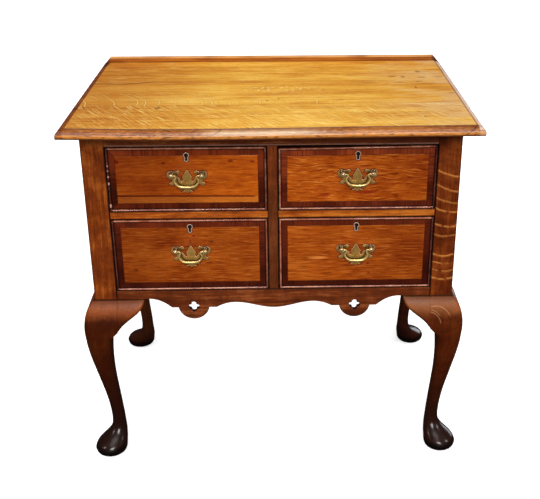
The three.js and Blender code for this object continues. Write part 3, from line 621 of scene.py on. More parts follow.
def top_oak(name, seed, kind):
    """Honey-coloured waxed oak with its grain along x: golden in the middle, browner towards the left end
    and paler in patches towards the right. Each board has its own rays, marks and cracks. The moulding is
    brown, with a dark line in the step behind it."""
    f = Finish(name)
    wander = (f.noise(f.vector(f.x * 5 + seed, f.y * 9, 0.0), 1, 2) - 0.5) * 0.010
    broad, fine, pores = streaks(f, f.x, f.y + wander, f.z, seed)
    blotch = f.noise(f.vector(f.x * 7 + seed, f.y * 18, 0.5), 1, 4, 0.6)
    level = broad * 0.30 + fine * 0.40 + blotch * 0.30
    field = f.ramp(
        level,
        (0.38, tone(190, 116, 26)),
        (0.46, tone(220, 152, 46)),
        (0.53, tone(238, 180, 68)),
        (0.62, tone(250, 206, 104)),
    )
    field = darker(f, f.fade(f.y, -0.12, 0.22), field, (0.96, 0.86, 0.56))
    field = darker(f, f.fade(f.x, -0.06, -0.37), field, (0.72, 0.54, 0.42))
    right = f.fade(f.x, 0.14, 0.38) * f.fade(blotch, 0.38, 0.60)
    field = darker(f, right, field, (0.88, 0.88, 1.0))
    field = f.mix(right * 0.42, field, tone(226, 186, 150))
    if kind == "front":
        glow = f.fade(abs(f.y + 0.102), 0.012, 0.003)
        glow = glow * f.fade(f.x, 0.22, 0.27) * f.fade(f.x, 0.36, 0.33)
        field = f.mix(glow * 0.7, field, tone(255, 240, 205))
    rays = {"front": front_rays, "middle": middle_rays, "back": back_rays}[kind]
    pale, dark = rays(f, seed)
    field = f.mix(pale * 0.7, field, tone(254, 222, 132))
    field = darker(f, dark * 0.5, field, (0.66, 0.54, 0.40))
    field = f.mix(pores * 0.40, field, tone(140, 78, 22))
    for mark in top_marks[kind]:
        field = f.mix(spot(f, f.x, f.y + wander, mark) * 0.62, field, tone(104, 54, 16))
    # Painted shadow of the back strip along the back edge of the top, most of it under the strip.
    strip_shadow = f.fade(f.y, 0.236, 0.2435)
    field = f.mix(strip_shadow * 0.6, field, tone(130, 68, 14))

    rise = f.z - case_top
    if kind == "front":
        rise = rise + drop_lifted(f)
    moulded = f.fade(rise, top_thickness - 0.0003, top_thickness - 0.0013)
    colour = f.mix(moulded, field, moulding_brown(f, rise, level, blotch, seed))
    colour = top_cracks(f, kind, colour, moulded, seed)
    rough = 0.34 + fine * 0.10 + pores * 0.15 - moulded * 0.04
    height = fine * 0.5 - pores * 0.6 + pale * 0.2 + broad * 0.5
    return f.done(colour, rough, height, 0.0002, coat_weight=0.15, coat_roughness=0.2)


def strip_oak_finish(name):
    """The oak of the strip along the back: brown on its face and paler in patches along its top, with
    painted shadow at its foot and painted shade on its ends."""
    f = Finish(name)
    broad, fine, pores = streaks(f, f.x, f.z, f.y, 4.5)
    colour = f.ramp(
        broad * 0.6 + fine * 0.4,
        (0.38, tone(86, 36, 4)),
        (0.50, tone(130, 66, 10)),
        (0.60, tone(166, 96, 22)),
    )
    worn = f.fade(f.noise(f.vector(f.x * 9, 0.0, 3.0), 1, 2), 0.30, 0.55)
    worn = worn * f.fade(f.z, top_z + 0.0080, top_z + 0.0105)
    colour = f.mix(worn * 0.9, colour, tone(208, 150, 88))
    # Painted shadow along the strip's foot.
    foot = f.fade(f.z, top_z + 0.0025, top_z + 0.0005)
    colour = f.mix(foot * 0.7, colour, tone(76, 32, 8))
    # Painted shade on the strip's ends, darker at the right.
    colour = f.mix(f.fade(f.x, 0.359, 0.368) * 0.85, colour, tone(56, 32, 28))
    colour = f.mix(f.fade(-f.x, 0.364, 0.372) * 0.6, colour, tone(92, 44, 18))
    rough = 0.36 + fine * 0.12 + pores * 0.1
    return f.done(colour, rough, fine * 0.5 - pores * 0.6, 0.0002, specular_ior_level=0.2)


def knee_sheen_and_shade(f, colour, uneven, knee):
    """A leg's knee: a painted sheen over it as a lighter band, a dark line and painted shade under the ledge
    where it starts, and darker below, partly the wood's own darkening and partly painted shade. The knee is
    the sheen's share and what the colour is multiplied by below it. The rear knees stay plainer."""
    sheen_share, below = knee
    rear = f.fade(f.y, 0.0, 0.1)
    height = f.z + uneven
    under = f.fade(f.z, knee_line + 0.001, knee_line - 0.0005)
    # Painted sheen over the upper knee, as a lighter band.
    band = f.fade(height, knee_line - 0.043, knee_line - 0.019) * under
    colour = f.mix(band * (1 - rear) * sheen_share, colour, tone(196, 124, 66))
    shade = f.fade(f.z, knee_line - 0.015, knee_line - 0.001) * under
    colour = darker(f, shade, colour, (0.58, 0.55, 0.52))
    ledge = line_at(f, f.z, knee_line + 0.0002, 0.0016)
    colour = f.mix(ledge * 0.75, colour, tone(36, 15, 8))
    # Darker below the knee: partly the wood's own darkening, partly painted shade where the knee turns down.
    lower = f.fade(height, knee_line - 0.018, knee_line - 0.042)
    return darker(f, lower * (1 - rear * 0.8), colour, below)


def drawer_gap_shade(f, edges):
    """Painted shade in the case's edges beside the drawers, where the gaps are. Each edge is the way that it
    is measured in, its place and how far the shade reaches."""
    gap_shade = 0.0
    for way, place, reach in edges:
        line = f.fade(abs((f.x if way == "x" else f.z) - place), reach, 0.0008)
        if way == "x":
            line = line * f.fade(f.z, knee_line - 0.003, knee_line + 0.005)
            line = line * f.fade(f.z, opening_top + 0.004, opening_top - 0.001)
        gap_shade = f.most(line, gap_shade)
    return gap_shade * f.fade(f.y, case_front + 0.0145, case_front + 0.0095)


plain_knee = (0.3, (0.40, 0.36, 0.32))


def case_oak(name, seed, upright, tones, figure=None, edges=(), knee=plain_knee):
    """Dark waxed oak. Upright pieces have their grain along z, and the others along x. The figure is what a
    piece shows besides grain: the right post's stripes, a muntin that is shaded lower down, a rail with a
    worn lower arris, or an apron that is darker lower down, with painted shade on its cut edges and round
    the lower edge of its drops. Legs darken towards the feet, which shine a little."""
    f = Finish(name)
    along, across = (f.z, f.x) if upright else (f.x, f.z)
    wander = (f.noise(f.vector(along * 7 + seed, across * 14, f.y * 14), 1, 2) - 0.5) * 0.010
    broad, fine, pores = streaks(f, along, across + wander, f.y + wander, seed)
    blotch = f.noise(f.place, 17, 5, 0.66)
    uneven = (blotch - 0.5) * 0.022
    streak_share = 0.20 if upright and edges else 0.40
    level = broad * streak_share + fine * 0.28 + blotch * (0.72 - streak_share)
    dark, middle, light = tones
    colour = f.ramp(level, (0.40, dark), (0.50, middle), (0.58, light))
    if upright:
        colour = f.mix(f.fade(f.z, knee_line + 0.007, knee_line - 0.003) * 0.5, colour, middle)
    if figure == "stripes":
        colour = cross_stripes(f, colour, seed)
    if figure == "shaded":
        colour = darker(f, f.fade(f.z, 0.645, 0.575), colour, (0.58, 0.64, 0.80))
    if figure == "worn":
        worn = line_at(f, f.z, opening_top + 0.0022, 0.0022)
        colour = f.mix(worn * 0.6, colour, tone(164, 128, 112))
    colour = f.mix(pores * 0.4, colour, tone(40, 18, 8))
    if upright and edges:
        # Painted shade along the outer front arris of the posts.
        painted_outline_shade = f.fade(abs(f.x), case_half - 0.0050, case_half - 0.0002)
        painted_outline_shade = painted_outline_shade * f.fade(f.z, knee_line - 0.003, knee_line + 0.007)
        painted_outline_shade = painted_outline_shade * f.fade(f.y, case_front + 0.0045, case_front + 0.0010)
        colour = darker(f, painted_outline_shade, colour, (0.62, 0.60, 0.70))
    if upright:
        colour = knee_sheen_and_shade(f, colour, uneven, knee)
        rear = f.fade(f.y, 0.0, 0.1)
        shank = f.fade(f.z, 0.26, 0.04) * (0.88 - rear * 0.06)
        colour = f.mix(shank, colour, tone(24, 11, 7))
    if edges:
        # Painted shade in the gaps beside the drawers.
        colour = f.mix(drawer_gap_shade(f, edges) * 0.9, colour, tone(22, 8, 4))
    if figure == "shaded_edges":
        lower = f.fade(f.z + uneven, knee_line - 0.018, knee_line - 0.042)
        colour = darker(f, lower, colour, (0.8, 0.8, 0.8))
        # Painted shade on the apron's cut edges.
        shaded_edges = f.fade(f.y, case_front + 0.0001, case_front + 0.0006)
        colour = f.mix(shaded_edges * 0.95, colour, tone(20, 9, 6))
        # Painted shade round the lower edge of each drop.
        away = f.distance(abs(f.x) - opening_centre, f.z - knee_line + pendant_depth)
        rim = f.fade(away, pendant_radius - 0.0020, pendant_radius - 0.0004)
        rim = rim * f.fade(f.z, knee_line - 0.019, knee_line - 0.024)
        colour = f.mix(rim * 0.7, colour, tone(34, 14, 8))
    if upright:
        colour = f.mix(f.fade(f.z, 0.026, 0.014) * 0.9, colour, tone(9, 5, 4))
        f.feed(f.shader.inputs["Coat Weight"], f.fade(f.z, 0.10, 0.05) * 0.4)
    haze = f.noise(f.place, 60, 3, 0.6)
    foot = f.fade(f.z, 0.14, 0.06)
    rough = 0.26 + fine * 0.08 + pores * 0.12 + haze * 0.14 - foot * 0.06
    height = (fine * 0.5 - pores * 0.7 + haze * 0.5) * (1 - foot * 0.85)
    return f.done(colour, rough, height, 0.00025, specular_ior_level=0.18, coat_roughness=0.15)


# The pale rings in the right knee: the middle's x and z, the radius, where each ends and how
# strong it is. The heights of the post's rays follow, and the run of heights that they lie in.
knee_rings = [
    (0.3045, 0.3127, 0.0259, 0.3145, 0.46),
    (0.3045, 0.3127, 0.0302, 0.3300, 0.34),
    (0.3188, 0.3180, 0.0314, 0.3310, 0.38),
]
ray_heights = [0.401, 0.419, 0.437, 0.454, 0.4955, 0.516, 0.547, 0.567, 0.5925, 0.6225]
rays_low, rays_run = 0.390, 0.260


def cross_stripes(f, colour, seed):
    """The cross figure of the right-hand post: pale rays at the heights above, each sharp on its
    upper side, sagging and leaning with the height; and rings in the knee below."""
    wave = (f.noise(f.vector(f.x * 32, f.z * 16, seed), 1, 3) - 0.5) * 0.009
    aside = f.x - 0.331
    lean = f.fade(f.z, 0.48, 0.60, 0.03, 0.32)
    height = f.z + wave + aside * lean - aside * aside * 9.0
    black = (0, 0, 0, 1)
    stops = []
    for i, place in enumerate(ray_heights):
        share = (place - rays_low) / rays_run
        bright = (1.0, 0.62, 0.85)[i % 3]
        pale = (bright, bright, bright, 1)
        stops += [(share - 0.016, black), (share, pale), (share + 0.006, black)]
    ray = f.ramp((height - rays_low) / rays_run, *stops)
    broken = f.fade(f.noise(f.vector(f.x * 70, f.z * 70, seed), 1, 2), 0.34, 0.50)
    front = f.fade(f.y, case_front + 0.0045, case_front + 0.0005)
    shade = f.fade(f.noise(f.vector(f.x * 6, (height - wave) * 60, seed), 1, 2), 0.44, 0.60)
    colour = darker(f, shade * 0.5, colour, (0.66, 0.56, 0.5))
    colour = f.mix(ray * broken * front * 0.85, colour, tone(222, 140, 66))
    shake = (f.noise(f.place, 40, 2) - 0.5) * 0.006
    knee_front = f.fade(f.x, 0.3085, 0.3120) * f.fade(f.y, -0.15, -0.20)
    for x, z, radius, lowest, strength in knee_rings:
        away = f.distance(f.x - x, f.z - z) + shake
        ring = line_at(f, away, radius, 0.0016) * f.fade(f.z, lowest - 0.003, lowest + 0.002)
        colour = f.mix(ring * knee_front * strength, colour, tone(226, 156, 102))
    return colour


# What each figure of an oak field is made of: how much its grain sways, how close its marks
# follow each other along the grain, and how strong they are.
field_figures = {
    "wavy": (0.026, 34, 0.75),
    "streaky": (0.012, 26, 0.6),
    "calm": (0.007, 34, 0.5),
    "knots": (0.007, 40, 0.35),
}


def drawer_field(f, figure, centre, handle_z, dimmer, shade, seed):
    """The oak field of a drawer's face, and its fine and broad grain: dark and pale marks along the grain,
    single spots, darkening round the handle that is partly dirt and partly painted shade, and a dimmer side."""
    sway_by, closeness, strength = field_figures[figure]
    sway = (f.noise(f.vector(f.x * 11 + seed, f.z * 24, 0.0), 1, 2) - 0.5) * sway_by
    broad, fine, pores = streaks(f, f.x, f.z + sway, 0.0, seed)
    blotch = f.noise(f.vector(f.x * 10 + seed, f.z * 17, 0.0), 1, 4, 0.62)
    field = f.ramp(
        broad * 0.20 + fine * 0.32 + blotch * 0.48,
        (0.38, tone(144, 54, 3)),
        (0.46, tone(166, 72, 8)),
        (0.54, tone(186, 88, 14)),
        (0.62, tone(206, 110, 30)),
    )
    mark = f.noise(f.vector(f.x * closeness + seed, (f.z + sway) * 430, 1.0), 1, 2, 0.5)
    field = f.mix(f.fade(mark, 0.57, 0.63) * strength, field, tone(112, 30, 2))
    field = f.mix(f.fade(mark, 0.42, 0.36) * strength * 0.8, field, tone(234, 138, 56))
    # Darker round the handle: partly dirt, partly painted shade.
    halo = spot(f, f.x, f.z, (centre.x, handle_z - 0.005, 0.036, 0.024))
    field = darker(f, halo * 0.55, field, (0.66, 0.58, 0.5))
    field = darker(f, 1.0, field, shade)
    field = f.mix(pores * 0.25, field, tone(90, 32, 8))
    for place, mark_tone in drawer_marks[figure]:
        field = f.mix(spot(f, f.x, f.z + sway * 0.3, place) * 0.85, field, mark_tone)
    if figure == "knots":
        split = line_at(f, f.z, 0.5845 + (f.x + 0.16) * -0.010, 0.0022)
        split = split * f.fade(f.x, -0.026, -0.040)
        below = f.fade(f.z, 0.5848, 0.5840) * (1 - split)
        field = f.mix(split * 0.95, field, tone(84, 8, 6))
        field = f.mix(below * 0.35, field, tone(222, 138, 52))
    side, start, by = dimmer
    dim = f.fade((f.x - centre.x) * side, start, 0.14)
    return darker(f, dim, field, by), fine, broad


def drawer_veneer(name, low, high, worn, handle_z, seed, look):
    """A drawer's face: an oak field inside a cross-grained mahogany band with mitred corners.
    The nearest edge says where the band is and which way it runs. The look is the field's
    figure, its dimmer side, what its colours are multiplied by, and the band's two tones."""
    f = Finish(name)
    figure, dimmer, shade, band_dark, band_light = look
    centre = (low + high) / 2
    half = (high - low) / 2
    side = half.x - abs(f.x - centre.x)
    level_edge = half.z - abs(f.z - centre.z)
    if worn:
        worn_top = high.z - (high.x - f.x) * (worn / (half.x * 2))
        level_edge = f.least(worn_top - f.z, f.z - low.z)
    edge = f.least(side, level_edge)
    upright = f.fade(side - level_edge, 0.0004, -0.0004)
    along = f.x * (1 - upright) + f.z * upright
    rag = (f.noise(f.vector(f.x * 120, f.z * 120, seed), 1, 1) - 0.5) * 0.0010
    banded = f.fade(edge + rag, band_width + 0.0003, band_width - 0.0004)
    field, fine, broad = drawer_field(f, figure, centre, handle_z, dimmer, shade, seed)

    patch = f.noise(f.vector(along * 24, seed, upright * 3), 1, 0)
    lines = f.noise(f.vector(along * 330, edge * 14, seed), 1, 3, 0.65)
    band = f.mix(f.fade(patch * 0.4 + lines * 0.6, 0.38, 0.60), band_dark, band_light)
    lower = f.fade(f.z, centre.z + half.z * 0.5, centre.z - half.z * 0.7)
    band = darker(f, lower, band, (0.50, 0.46, 0.62))
    outer = f.fade(abs(f.x), 0.284, 0.292)
    band = darker(f, upright * (0.4 + outer * 0.5), band, (0.60, 0.54, 0.62))
    colour = f.mix(banded, field, band)
    seam = line_at(f, edge + rag, band_width, 0.0008)
    mitre = line_at(f, side, level_edge, 0.0007) * banded
    colour = f.mix(f.most(seam * 0.6, mitre * 0.35), colour, tone(44, 12, 4))
    # Painted shade in the crease beside the bead.
    beside_bead = f.fade(edge, bead_width + 0.0026, bead_width + 0.0006)
    colour = f.mix(beside_bead * 0.85, colour, tone(20, 7, 4))
    height = fine * 0.4 + lines * banded * 0.3 - seam * 0.8 + broad * 0.8
    return f.done(colour, 0.26 + fine * 0.12, height, 0.0002, specular_ior_level=0.25)


# Spots in each drawer's field: a mark on its face and the tone that it has.
drawer_marks = {
    "knots": [
        ((-0.2024, 0.6506, 0.0055, 0.0030), tone(110, 22, 8)),
        ((-0.0779, 0.6549, 0.0075, 0.0045), tone(126, 40, 6)),
        ((-0.0373, 0.6532, 0.0060, 0.0030), tone(132, 30, 10)),
        ((-0.2890, 0.6540, 0.0070, 0.0060), tone(132, 24, 6)),
    ],
    "calm": [
        ((-0.1528, 0.5018, 0.0035, 0.0030), tone(124, 10, 10)),
        ((-0.1600, 0.4900, 0.0020, 0.0060), tone(122, 30, 10)),
        ((-0.1204, 0.4892, 0.0080, 0.0030), tone(104, 40, 10)),
        ((-0.2675, 0.4293, 0.0065, 0.0040), tone(110, 44, 12)),
        ((-0.1250, 0.4440, 0.0120, 0.0022), tone(112, 42, 8)),
    ],
    "wavy": [
        ((0.1750, 0.5900, 0.0300, 0.0060), tone(140, 34, 6)),
        ((0.0980, 0.5850, 0.0160, 0.0050), tone(146, 42, 8)),
    ],
    "streaky": [
        ((0.1834, 0.4382, 0.0040, 0.0030), tone(112, 10, 8)),
        ((0.1852, 0.4185, 0.0035, 0.0030), tone(116, 14, 8)),
        ((0.0850, 0.4520, 0.0260, 0.0050), tone(226, 132, 56)),
    ],
}


def bead_strip():
    """The thin moulded strip round each drawer: polished red-brown, mottled pale and pinkish, partly by wear
    and partly as a painted highlight, with painted shade on its upright runs and at its root by the face."""
    f = Finish("bead_strip")
    # Pale pinkish mottling: partly wear, partly a painted highlight.
    worn = f.fade(f.noise(f.place, 36, 3, 0.6), 0.30, 0.66)
    colour = f.mix(worn, tone(144, 70, 48), tone(208, 138, 108))
    # Painted shade on the upright runs.
    for places, share, by in [
        (abs(f.x) - bead_outer, 1.0, (0.20, 0.14, 0.16)),
        (f.x + bead_inner, 0.8, (0.38, 0.30, 0.30)),
        (f.x - bead_inner, 0.3, (0.38, 0.30, 0.30)),
    ]:
        colour = darker(f, line_at(f, places, 0.0, 0.005) * share, colour, by)
    # Painted shade at the bead's root by the face.
    foot = f.fade(f.y, case_front - 0.0022, case_front - 0.0008)
    colour = darker(f, foot, colour, (0.22, 0.14, 0.12))
    chips = f.fade(f.noise(f.vector(f.x * 20, f.y * 20, f.z * 75), 1, 2), 0.56, 0.62)
    chips = chips * line_at(f, f.x, -bead_outer, 0.004) * f.fade(f.z, 0.53, 0.56)
    colour = f.mix(chips * 0.85, colour, tone(232, 176, 158))
    nicks = f.fade(f.noise(f.place, 150, 2), 0.66, 0.76)
    colour = f.mix(nicks * 0.6, colour, tone(60, 24, 12))
    height = nicks * -1.0 - chips * 0.5
    return f.done(colour, 0.18 + worn * 0.12, height, 0.0002, coat_weight=0.5, coat_roughness=0.12)


def shadow_line_brown():
    """Dark brown for the thin lines round the metal fittings, which are painted shadow."""
    f = Finish("shadow_line_brown")
    crumbs = f.noise(f.place, 700, 3, 0.6)
    colour = f.mix(crumbs, tone(30, 10, 3), tone(58, 24, 8))
    return f.done(colour, 0.6 + crumbs * 0.3, crumbs, 0.0001, specular_ior_level=0.1)


def inner_oak(name, along_x):
    """Dry, unpolished oak of the drawer linings, runners and back."""
    f = Finish(name)
    along, across = (f.x, f.y) if along_x else (f.y, f.x)
    broad, fine, pores = streaks(f, along, across, f.z, 3.0)
    colour = f.ramp(
        broad * 0.6 + fine * 0.4,
        (0.38, tone(120, 84, 50)),
        (0.50, tone(160, 120, 76)),
        (0.62, tone(190, 152, 104)),
    )
    colour = f.mix(pores * 0.5, colour, tone(84, 56, 32))
    dust = f.fade(f.noise(f.place, 22, 3), 0.45, 0.70)
    colour = f.mix(dust * 0.25, colour, tone(110, 92, 74))
    return f.done(colour, 0.62 + fine * 0.2, fine * 0.6 - pores, 0.0003)


def old_brass(name, bright, dull, part, rough, metallic):
    """Brass with an olive-brown patina in patches and a brighter skin, worn by handling, between them. A
    plate has a painted highlight on its lower step and painted shadow by the posts and just inside the line
    of the bail; the necks of the posts, which no hand reaches, are dark, partly with patina and partly with
    painted shade under the balls."""
    f = Finish(name)
    film = f.fade(f.noise(f.place, 90, 3, 0.6), 0.30, 0.70)
    specks = f.fade(f.noise(f.place, 420, 2, 0.6), 0.58, 0.72)
    colour = f.mix(film, bright, dull)
    colour = f.mix(specks * 0.35, colour, tone(110, 84, 40))
    if part == "plate":
        # Painted highlight on the plate's lower step, at its edge.
        plate_edge_highlight = f.fade(f.y, case_front - 0.0017, case_front - 0.0012)
        colour = f.mix(plate_edge_highlight * 0.9, colour, tone(255, 190, 140))
        upper, lower = handle_heights["upper"], handle_heights["lower"]
        u = abs(abs(f.x) - opening_centre)
        v = f.least(abs(f.z - upper), abs(f.z - lower))
        # Painted shadow of the posts and balls on the plate.
        painted_post_shadow = f.fade(f.distance(u - (handle_spread - 0.0008), v), 0.0085, 0.0050)
        colour = f.mix(painted_post_shadow * 0.75, colour, tone(66, 40, 18))
        # Painted shadow of the bail, just inside its line.
        bail_reach, bail_drop = 0.0205, 0.0262
        inside = (u / bail_reach) ** 3 + (v / bail_drop) ** 3
        under = f.fade(f.z, upper + 0.004, upper)
        under = under * f.most(f.fade(f.z, 0.55, 0.56), f.fade(f.z, lower + 0.004, lower))
        colour = f.mix(line_at(f, inside, 0.90, 0.26) * under * 0.85, colour, tone(50, 28, 12))
    if part == "posts":
        # Darker necks: partly patina, partly painted shade under the balls.
        neck = f.fade(f.y, case_front - 0.0112, case_front - 0.0098)
        colour = f.mix(neck * 0.85, colour, tone(74, 48, 22))
    height = f.noise(f.place, 110, 2, 0.5) * 0.4 - specks * 0.2
    return f.done(colour, rough + film * 0.10 + specks * 0.12, height, 0.0001, metallic=metallic)


def rim_metal():
    """The keyhole rims: pinkish brass, duller than the handles."""
    f = Finish("rim_metal")
    film = f.noise(f.place, 260, 3, 0.6)
    colour = f.mix(film, tone(236, 200, 178), tone(190, 148, 126))
    return f.done(colour, 0.34 + film * 0.1, film, 0.0001, metallic=0.3)


def lock_iron():
    """The locks' bodies: dark iron with rust-brown patches."""
    f = Finish("lock_iron")
    rust = f.fade(f.noise(f.place, 120, 4, 0.65), 0.42, 0.62)
    colour = f.mix(rust, tone(62, 58, 54), tone(88, 56, 38))
    return f.done(colour, 0.45 + rust * 0.3, rust + f.noise(f.place, 600, 2), 0.0002, metallic=0.7)


# The edges beside the drawers, where painted shade gathers: the way that each is measured in, its place and
# how far the shade reaches.
post_edges = [("x", side * (case_half - post_width + joint), 0.0032) for side in (-1, 1)]
muntin_edges = [("x", -muntin_half - 0.0002, 0.0022), ("x", muntin_half + 0.0002, 0.0032)]
rail_edges = [("z", opening_top - joint, 0.0016), ("z", opening_bottom + joint, 0.0032)]
mid_rail_edges = [("z", mid_rail_low - joint, 0.0032), ("z", mid_rail_high + joint, 0.0032)]

# Each wood's dark, middle and light tone.
left_tones = (tone(94, 36, 7), tone(130, 56, 12), tone(168, 87, 28))
side_tones = (tone(94, 38, 10), tone(120, 54, 17), tone(150, 78, 30))
right_tones = (tone(82, 29, 4), tone(108, 42, 7), tone(138, 64, 17))
muntin_tones = (tone(106, 46, 15), tone(128, 58, 20), tone(152, 74, 30))
mid_left_tones = (tone(128, 52, 8), tone(186, 92, 24), tone(238, 146, 62))
mid_right_tones = (tone(116, 42, 4), tone(162, 74, 13), tone(206, 116, 36))
apron_tones = (tone(74, 28, 8), tone(114, 50, 18), tone(162, 86, 42))
top_rail_tones = (tone(102, 44, 16), tone(142, 67, 26), tone(186, 104, 52))

# How strong the painted sheen over each knee is, and what the colour is multiplied by below it.
left_knee = (0.10, (0.27, 0.22, 0.19))
right_knee = (0.29, (0.60, 0.58, 0.54))

front_oak = top_oak("top_front_oak", 0.0, "front")
middle_oak = top_oak("top_middle_oak", 4.0, "middle")
back_oak = top_oak("top_back_oak", 9.0, "back")
strip_oak = strip_oak_finish("back_strip_oak")
left_oak = case_oak("left_post_oak", 1.0, True, left_tones, None, post_edges, left_knee)
right_oak = case_oak("right_post_oak", 5.0, True, right_tones, "stripes", post_edges, right_knee)
muntin_oak = case_oak("muntin_oak", 8.0, True, muntin_tones, "shaded", muntin_edges)
top_rail_oak = case_oak("top_rail_oak", 2.0, False, top_rail_tones, "worn", rail_edges)
mid_left_oak = case_oak("mid_rail_left_oak", 3.0, False, mid_left_tones, edges=mid_rail_edges)
mid_right_oak = case_oak("mid_rail_right_oak", 3.0, False, mid_right_tones, edges=mid_rail_edges)
apron_oak = case_oak("apron_oak", 6.0, False, apron_tones, "shaded_edges", rail_edges)
side_oak = case_oak("side_panel_oak", 7.0, True, side_tones)
lining_oak = inner_oak("lining_oak", False)
cross_lining_oak = inner_oak("cross_lining_oak", True)
bead_finish = bead_strip()
shadow_line_finish = shadow_line_brown()

# The brass where it is bright and where it is dull.
plate_tones = (tone(188, 149, 77), tone(160, 119, 53))
post_tones = (tone(255, 232, 180), tone(236, 200, 132))
bail_tones = (tone(255, 226, 150), tone(236, 194, 112))
brass = old_brass("plate_brass", *plate_tones, "plate", 0.22, 0.35)
post_brass = old_brass("post_brass", *post_tones, "posts", 0.14, 0.75)
bail_brass = old_brass("bail_brass", *bail_tones, "bail", 0.22, 0.55)
rim_finish = rim_metal()
iron = lock_iron()


# The top: three boards, thumb moulded on the front and both ends, and a strip along the back.


def moulding_rows():
    """The moulded edge from underneath: an eased arris, an upright nose, a quarter ellipse, a
    small fillet and the step up to the field, as insets from the edge and heights."""
    low = arc((nose_ease, nose_ease), nose_ease, -math.pi / 2, -math.pi, 5)
    turn = np.linspace(0, math.pi / 2, 14)
    run = moulding_width - moulding_fillet
    rise = top_thickness - moulding_step - nose_height
    thumb = np.column_stack([run * (1 - np.cos(turn)), nose_height + rise * np.sin(turn)])
    foot = [moulding_width - 0.0002, top_thickness - moulding_step + 0.0001]
    lip = arc((moulding_width + lip_round, top_thickness - lip_round), lip_round, math.pi, math.pi / 2, 4)
    return np.vstack([low, thumb, [foot], lip])


def front_board():
    """The front board of the top. Its first ring lies flat in the underside, further in from the
    front, the ends and the back; one follows at each row of the moulding, and the last ones run
    on over the flat of the board. Its front corners are worn round, and its front edge has
    dropped: by a squared sine along it, most left of the middle, that fades out over the board
    as an eased step."""
    inset, height = moulding_rows().T
    onward = np.linspace(moulding_width * 1.6, drop_reach, 7)
    ahead = np.concatenate([[0.045], inset, onward])
    beside = np.concatenate([[0.020], inset, moulding_width + onward * 0.1])
    behind = np.concatenate([[0.002], np.zeros(len(inset)), onward * 0.05])
    height = np.concatenate([[0.0], height, np.full(len(onward), top_thickness)])
    half = (top_half - beside)[:, None]
    front = (top_front + ahead)[:, None]
    back = (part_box("top_front_board")[1].y - behind)[:, None]
    worn = np.maximum(corner_wear - ahead, 0.0004)[:, None]
    turn = np.linspace(0, math.pi / 2, 4)
    from_end, from_front = worn * (1 - np.sin(turn)), worn * (1 - np.cos(turn))
    along = np.linspace(-0.97, 0.97, 25)
    straight = np.repeat(front, len(along), axis=1)
    x = np.hstack([-half + from_end[:, ::-1], half * along, half - from_end, half, -half])
    y = np.hstack([front + from_front[:, ::-1], straight, front + from_front, back, back])
    share = np.clip(x / (2 * top_half) + 0.5, 0, 1)
    faded = np.clip((y - top_front) / drop_reach, 0, 1)
    faded[0] = 1
    drop = front_drop * np.sin(math.pi * share**drop_lean) ** 2 * (1 - faded**2 * (3 - 2 * faded))
    z = case_top + height[:, None] - drop
    return lofted("oak_front_board", np.stack([x, y, z], axis=-1), crease=board_crease)


def plain_board(part):
    """A board of the top behind the front one: a rectangle at each height of the moulding, inset
    on its moulded ends."""
    low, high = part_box(f"top_{part}_board")
    inset, height = moulding_rows().T
    x = top_half - inset
    front, back = np.full_like(x, low.y), np.full_like(x, high.y)
    z = case_top + height
    corners = [(-x, front), (x, front), (x, back), (-x, back)]
    rings = np.stack([np.stack([px, py, z], axis=-1) for px, py in corners], axis=1)
    return lofted(f"oak_{part}_board", rings, crease=board_crease)


piece(front_board(), front_oak, "top_oak", "carcass", "top_front_board")
piece(plain_board("middle"), middle_oak, "top_oak", "carcass", "top_middle_board")
piece(plain_board("back"), back_oak, "top_oak", "carcass", "top_back_board")


def back_strip():
    """The strip along the back of the top: its section, with two rounded upper arrises, at each
    of a row of insets from the ends. The ends slope in towards the upper edge, by an inset that
    grows with the height, and the foot follows the moulding."""
    low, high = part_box("back_upstand")
    outer = top_half + joint
    ease, top_inset = 0.0022, 0.019
    inset, height = moulding_rows().T
    over_board = inset > outer - high.x
    foot_inset = np.append(inset[over_board], top_inset + 0.002)
    foot = case_top + joint + np.append(height[over_board], top_thickness)
    front_round = arc((low.y + ease, high.z - ease), ease, math.pi, math.pi / 2, 7)
    back_round = arc((high.y - ease / 2, high.z - ease / 2), ease / 2, math.pi / 2, 0, 5)
    y = np.concatenate([[low.y], front_round[:, 0], back_round[:, 0], [high.y]])
    level = np.concatenate([[high.z], front_round[:, 1], back_round[:, 1], [high.z]])
    z = np.repeat(level[None], len(foot), axis=0)
    z[:, [0, -1]] = foot[:, None]
    crest = top_inset + np.linspace(0, 0.002, len(foot))
    share = (z - foot[:, None]) / (high.z - foot[:, None])
    x = outer - foot_inset[:, None] - (crest - foot_inset)[:, None] * share
    right = np.dstack([x, np.repeat(y[None], len(foot), axis=0), z])
    return lofted("back_strip", np.concatenate([right * [-1, 1, 1], right[::-1]]))


piece(back_strip(), strip_oak, "top_oak", "carcass", "back_upstand")


# The legs.


def knee_out(down):
    """How far the knee stands out at a share of the way down to its cusp: a lip, and on it a
    quarter sine wave that reaches its crown at four fifths."""
    return knee_lip + knee_swell * np.sin(math.pi / 2 * (down / 0.8) ** 0.7)


# The leg below the knee: for each section its share of the way down the shank or the foot, and
# the shares of the change of place and of width that it has reached. For the pad's sections, the
# share of the way down and the width.
shank_shares = [
    (0.07, -0.02, 0.09), (0.17, 0.02, 0.245), (0.27, 0.1, 0.4), (0.37, 0.22, 0.555),
    (0.49, 0.375, 0.706), (0.63, 0.585, 0.848), (0.77, 0.777, 0.957), (0.9, 0.92, 1.005), (1, 1, 1),
]
foot_shares = [
    (0.20, -0.02, 0.018), (0.38, 0.0, 0.085), (0.515, 0.135, 0.245), (0.635, 0.35, 0.455),
    (0.75, 0.61, 0.70), (0.87, 0.865, 0.905), (1, 1, 1),
]
pad_shares = [(0.22, 0.99), (0.43, 0.968), (0.63, 0.93), (0.8, 0.86), (0.93, 0.78), (1, 0.72)]


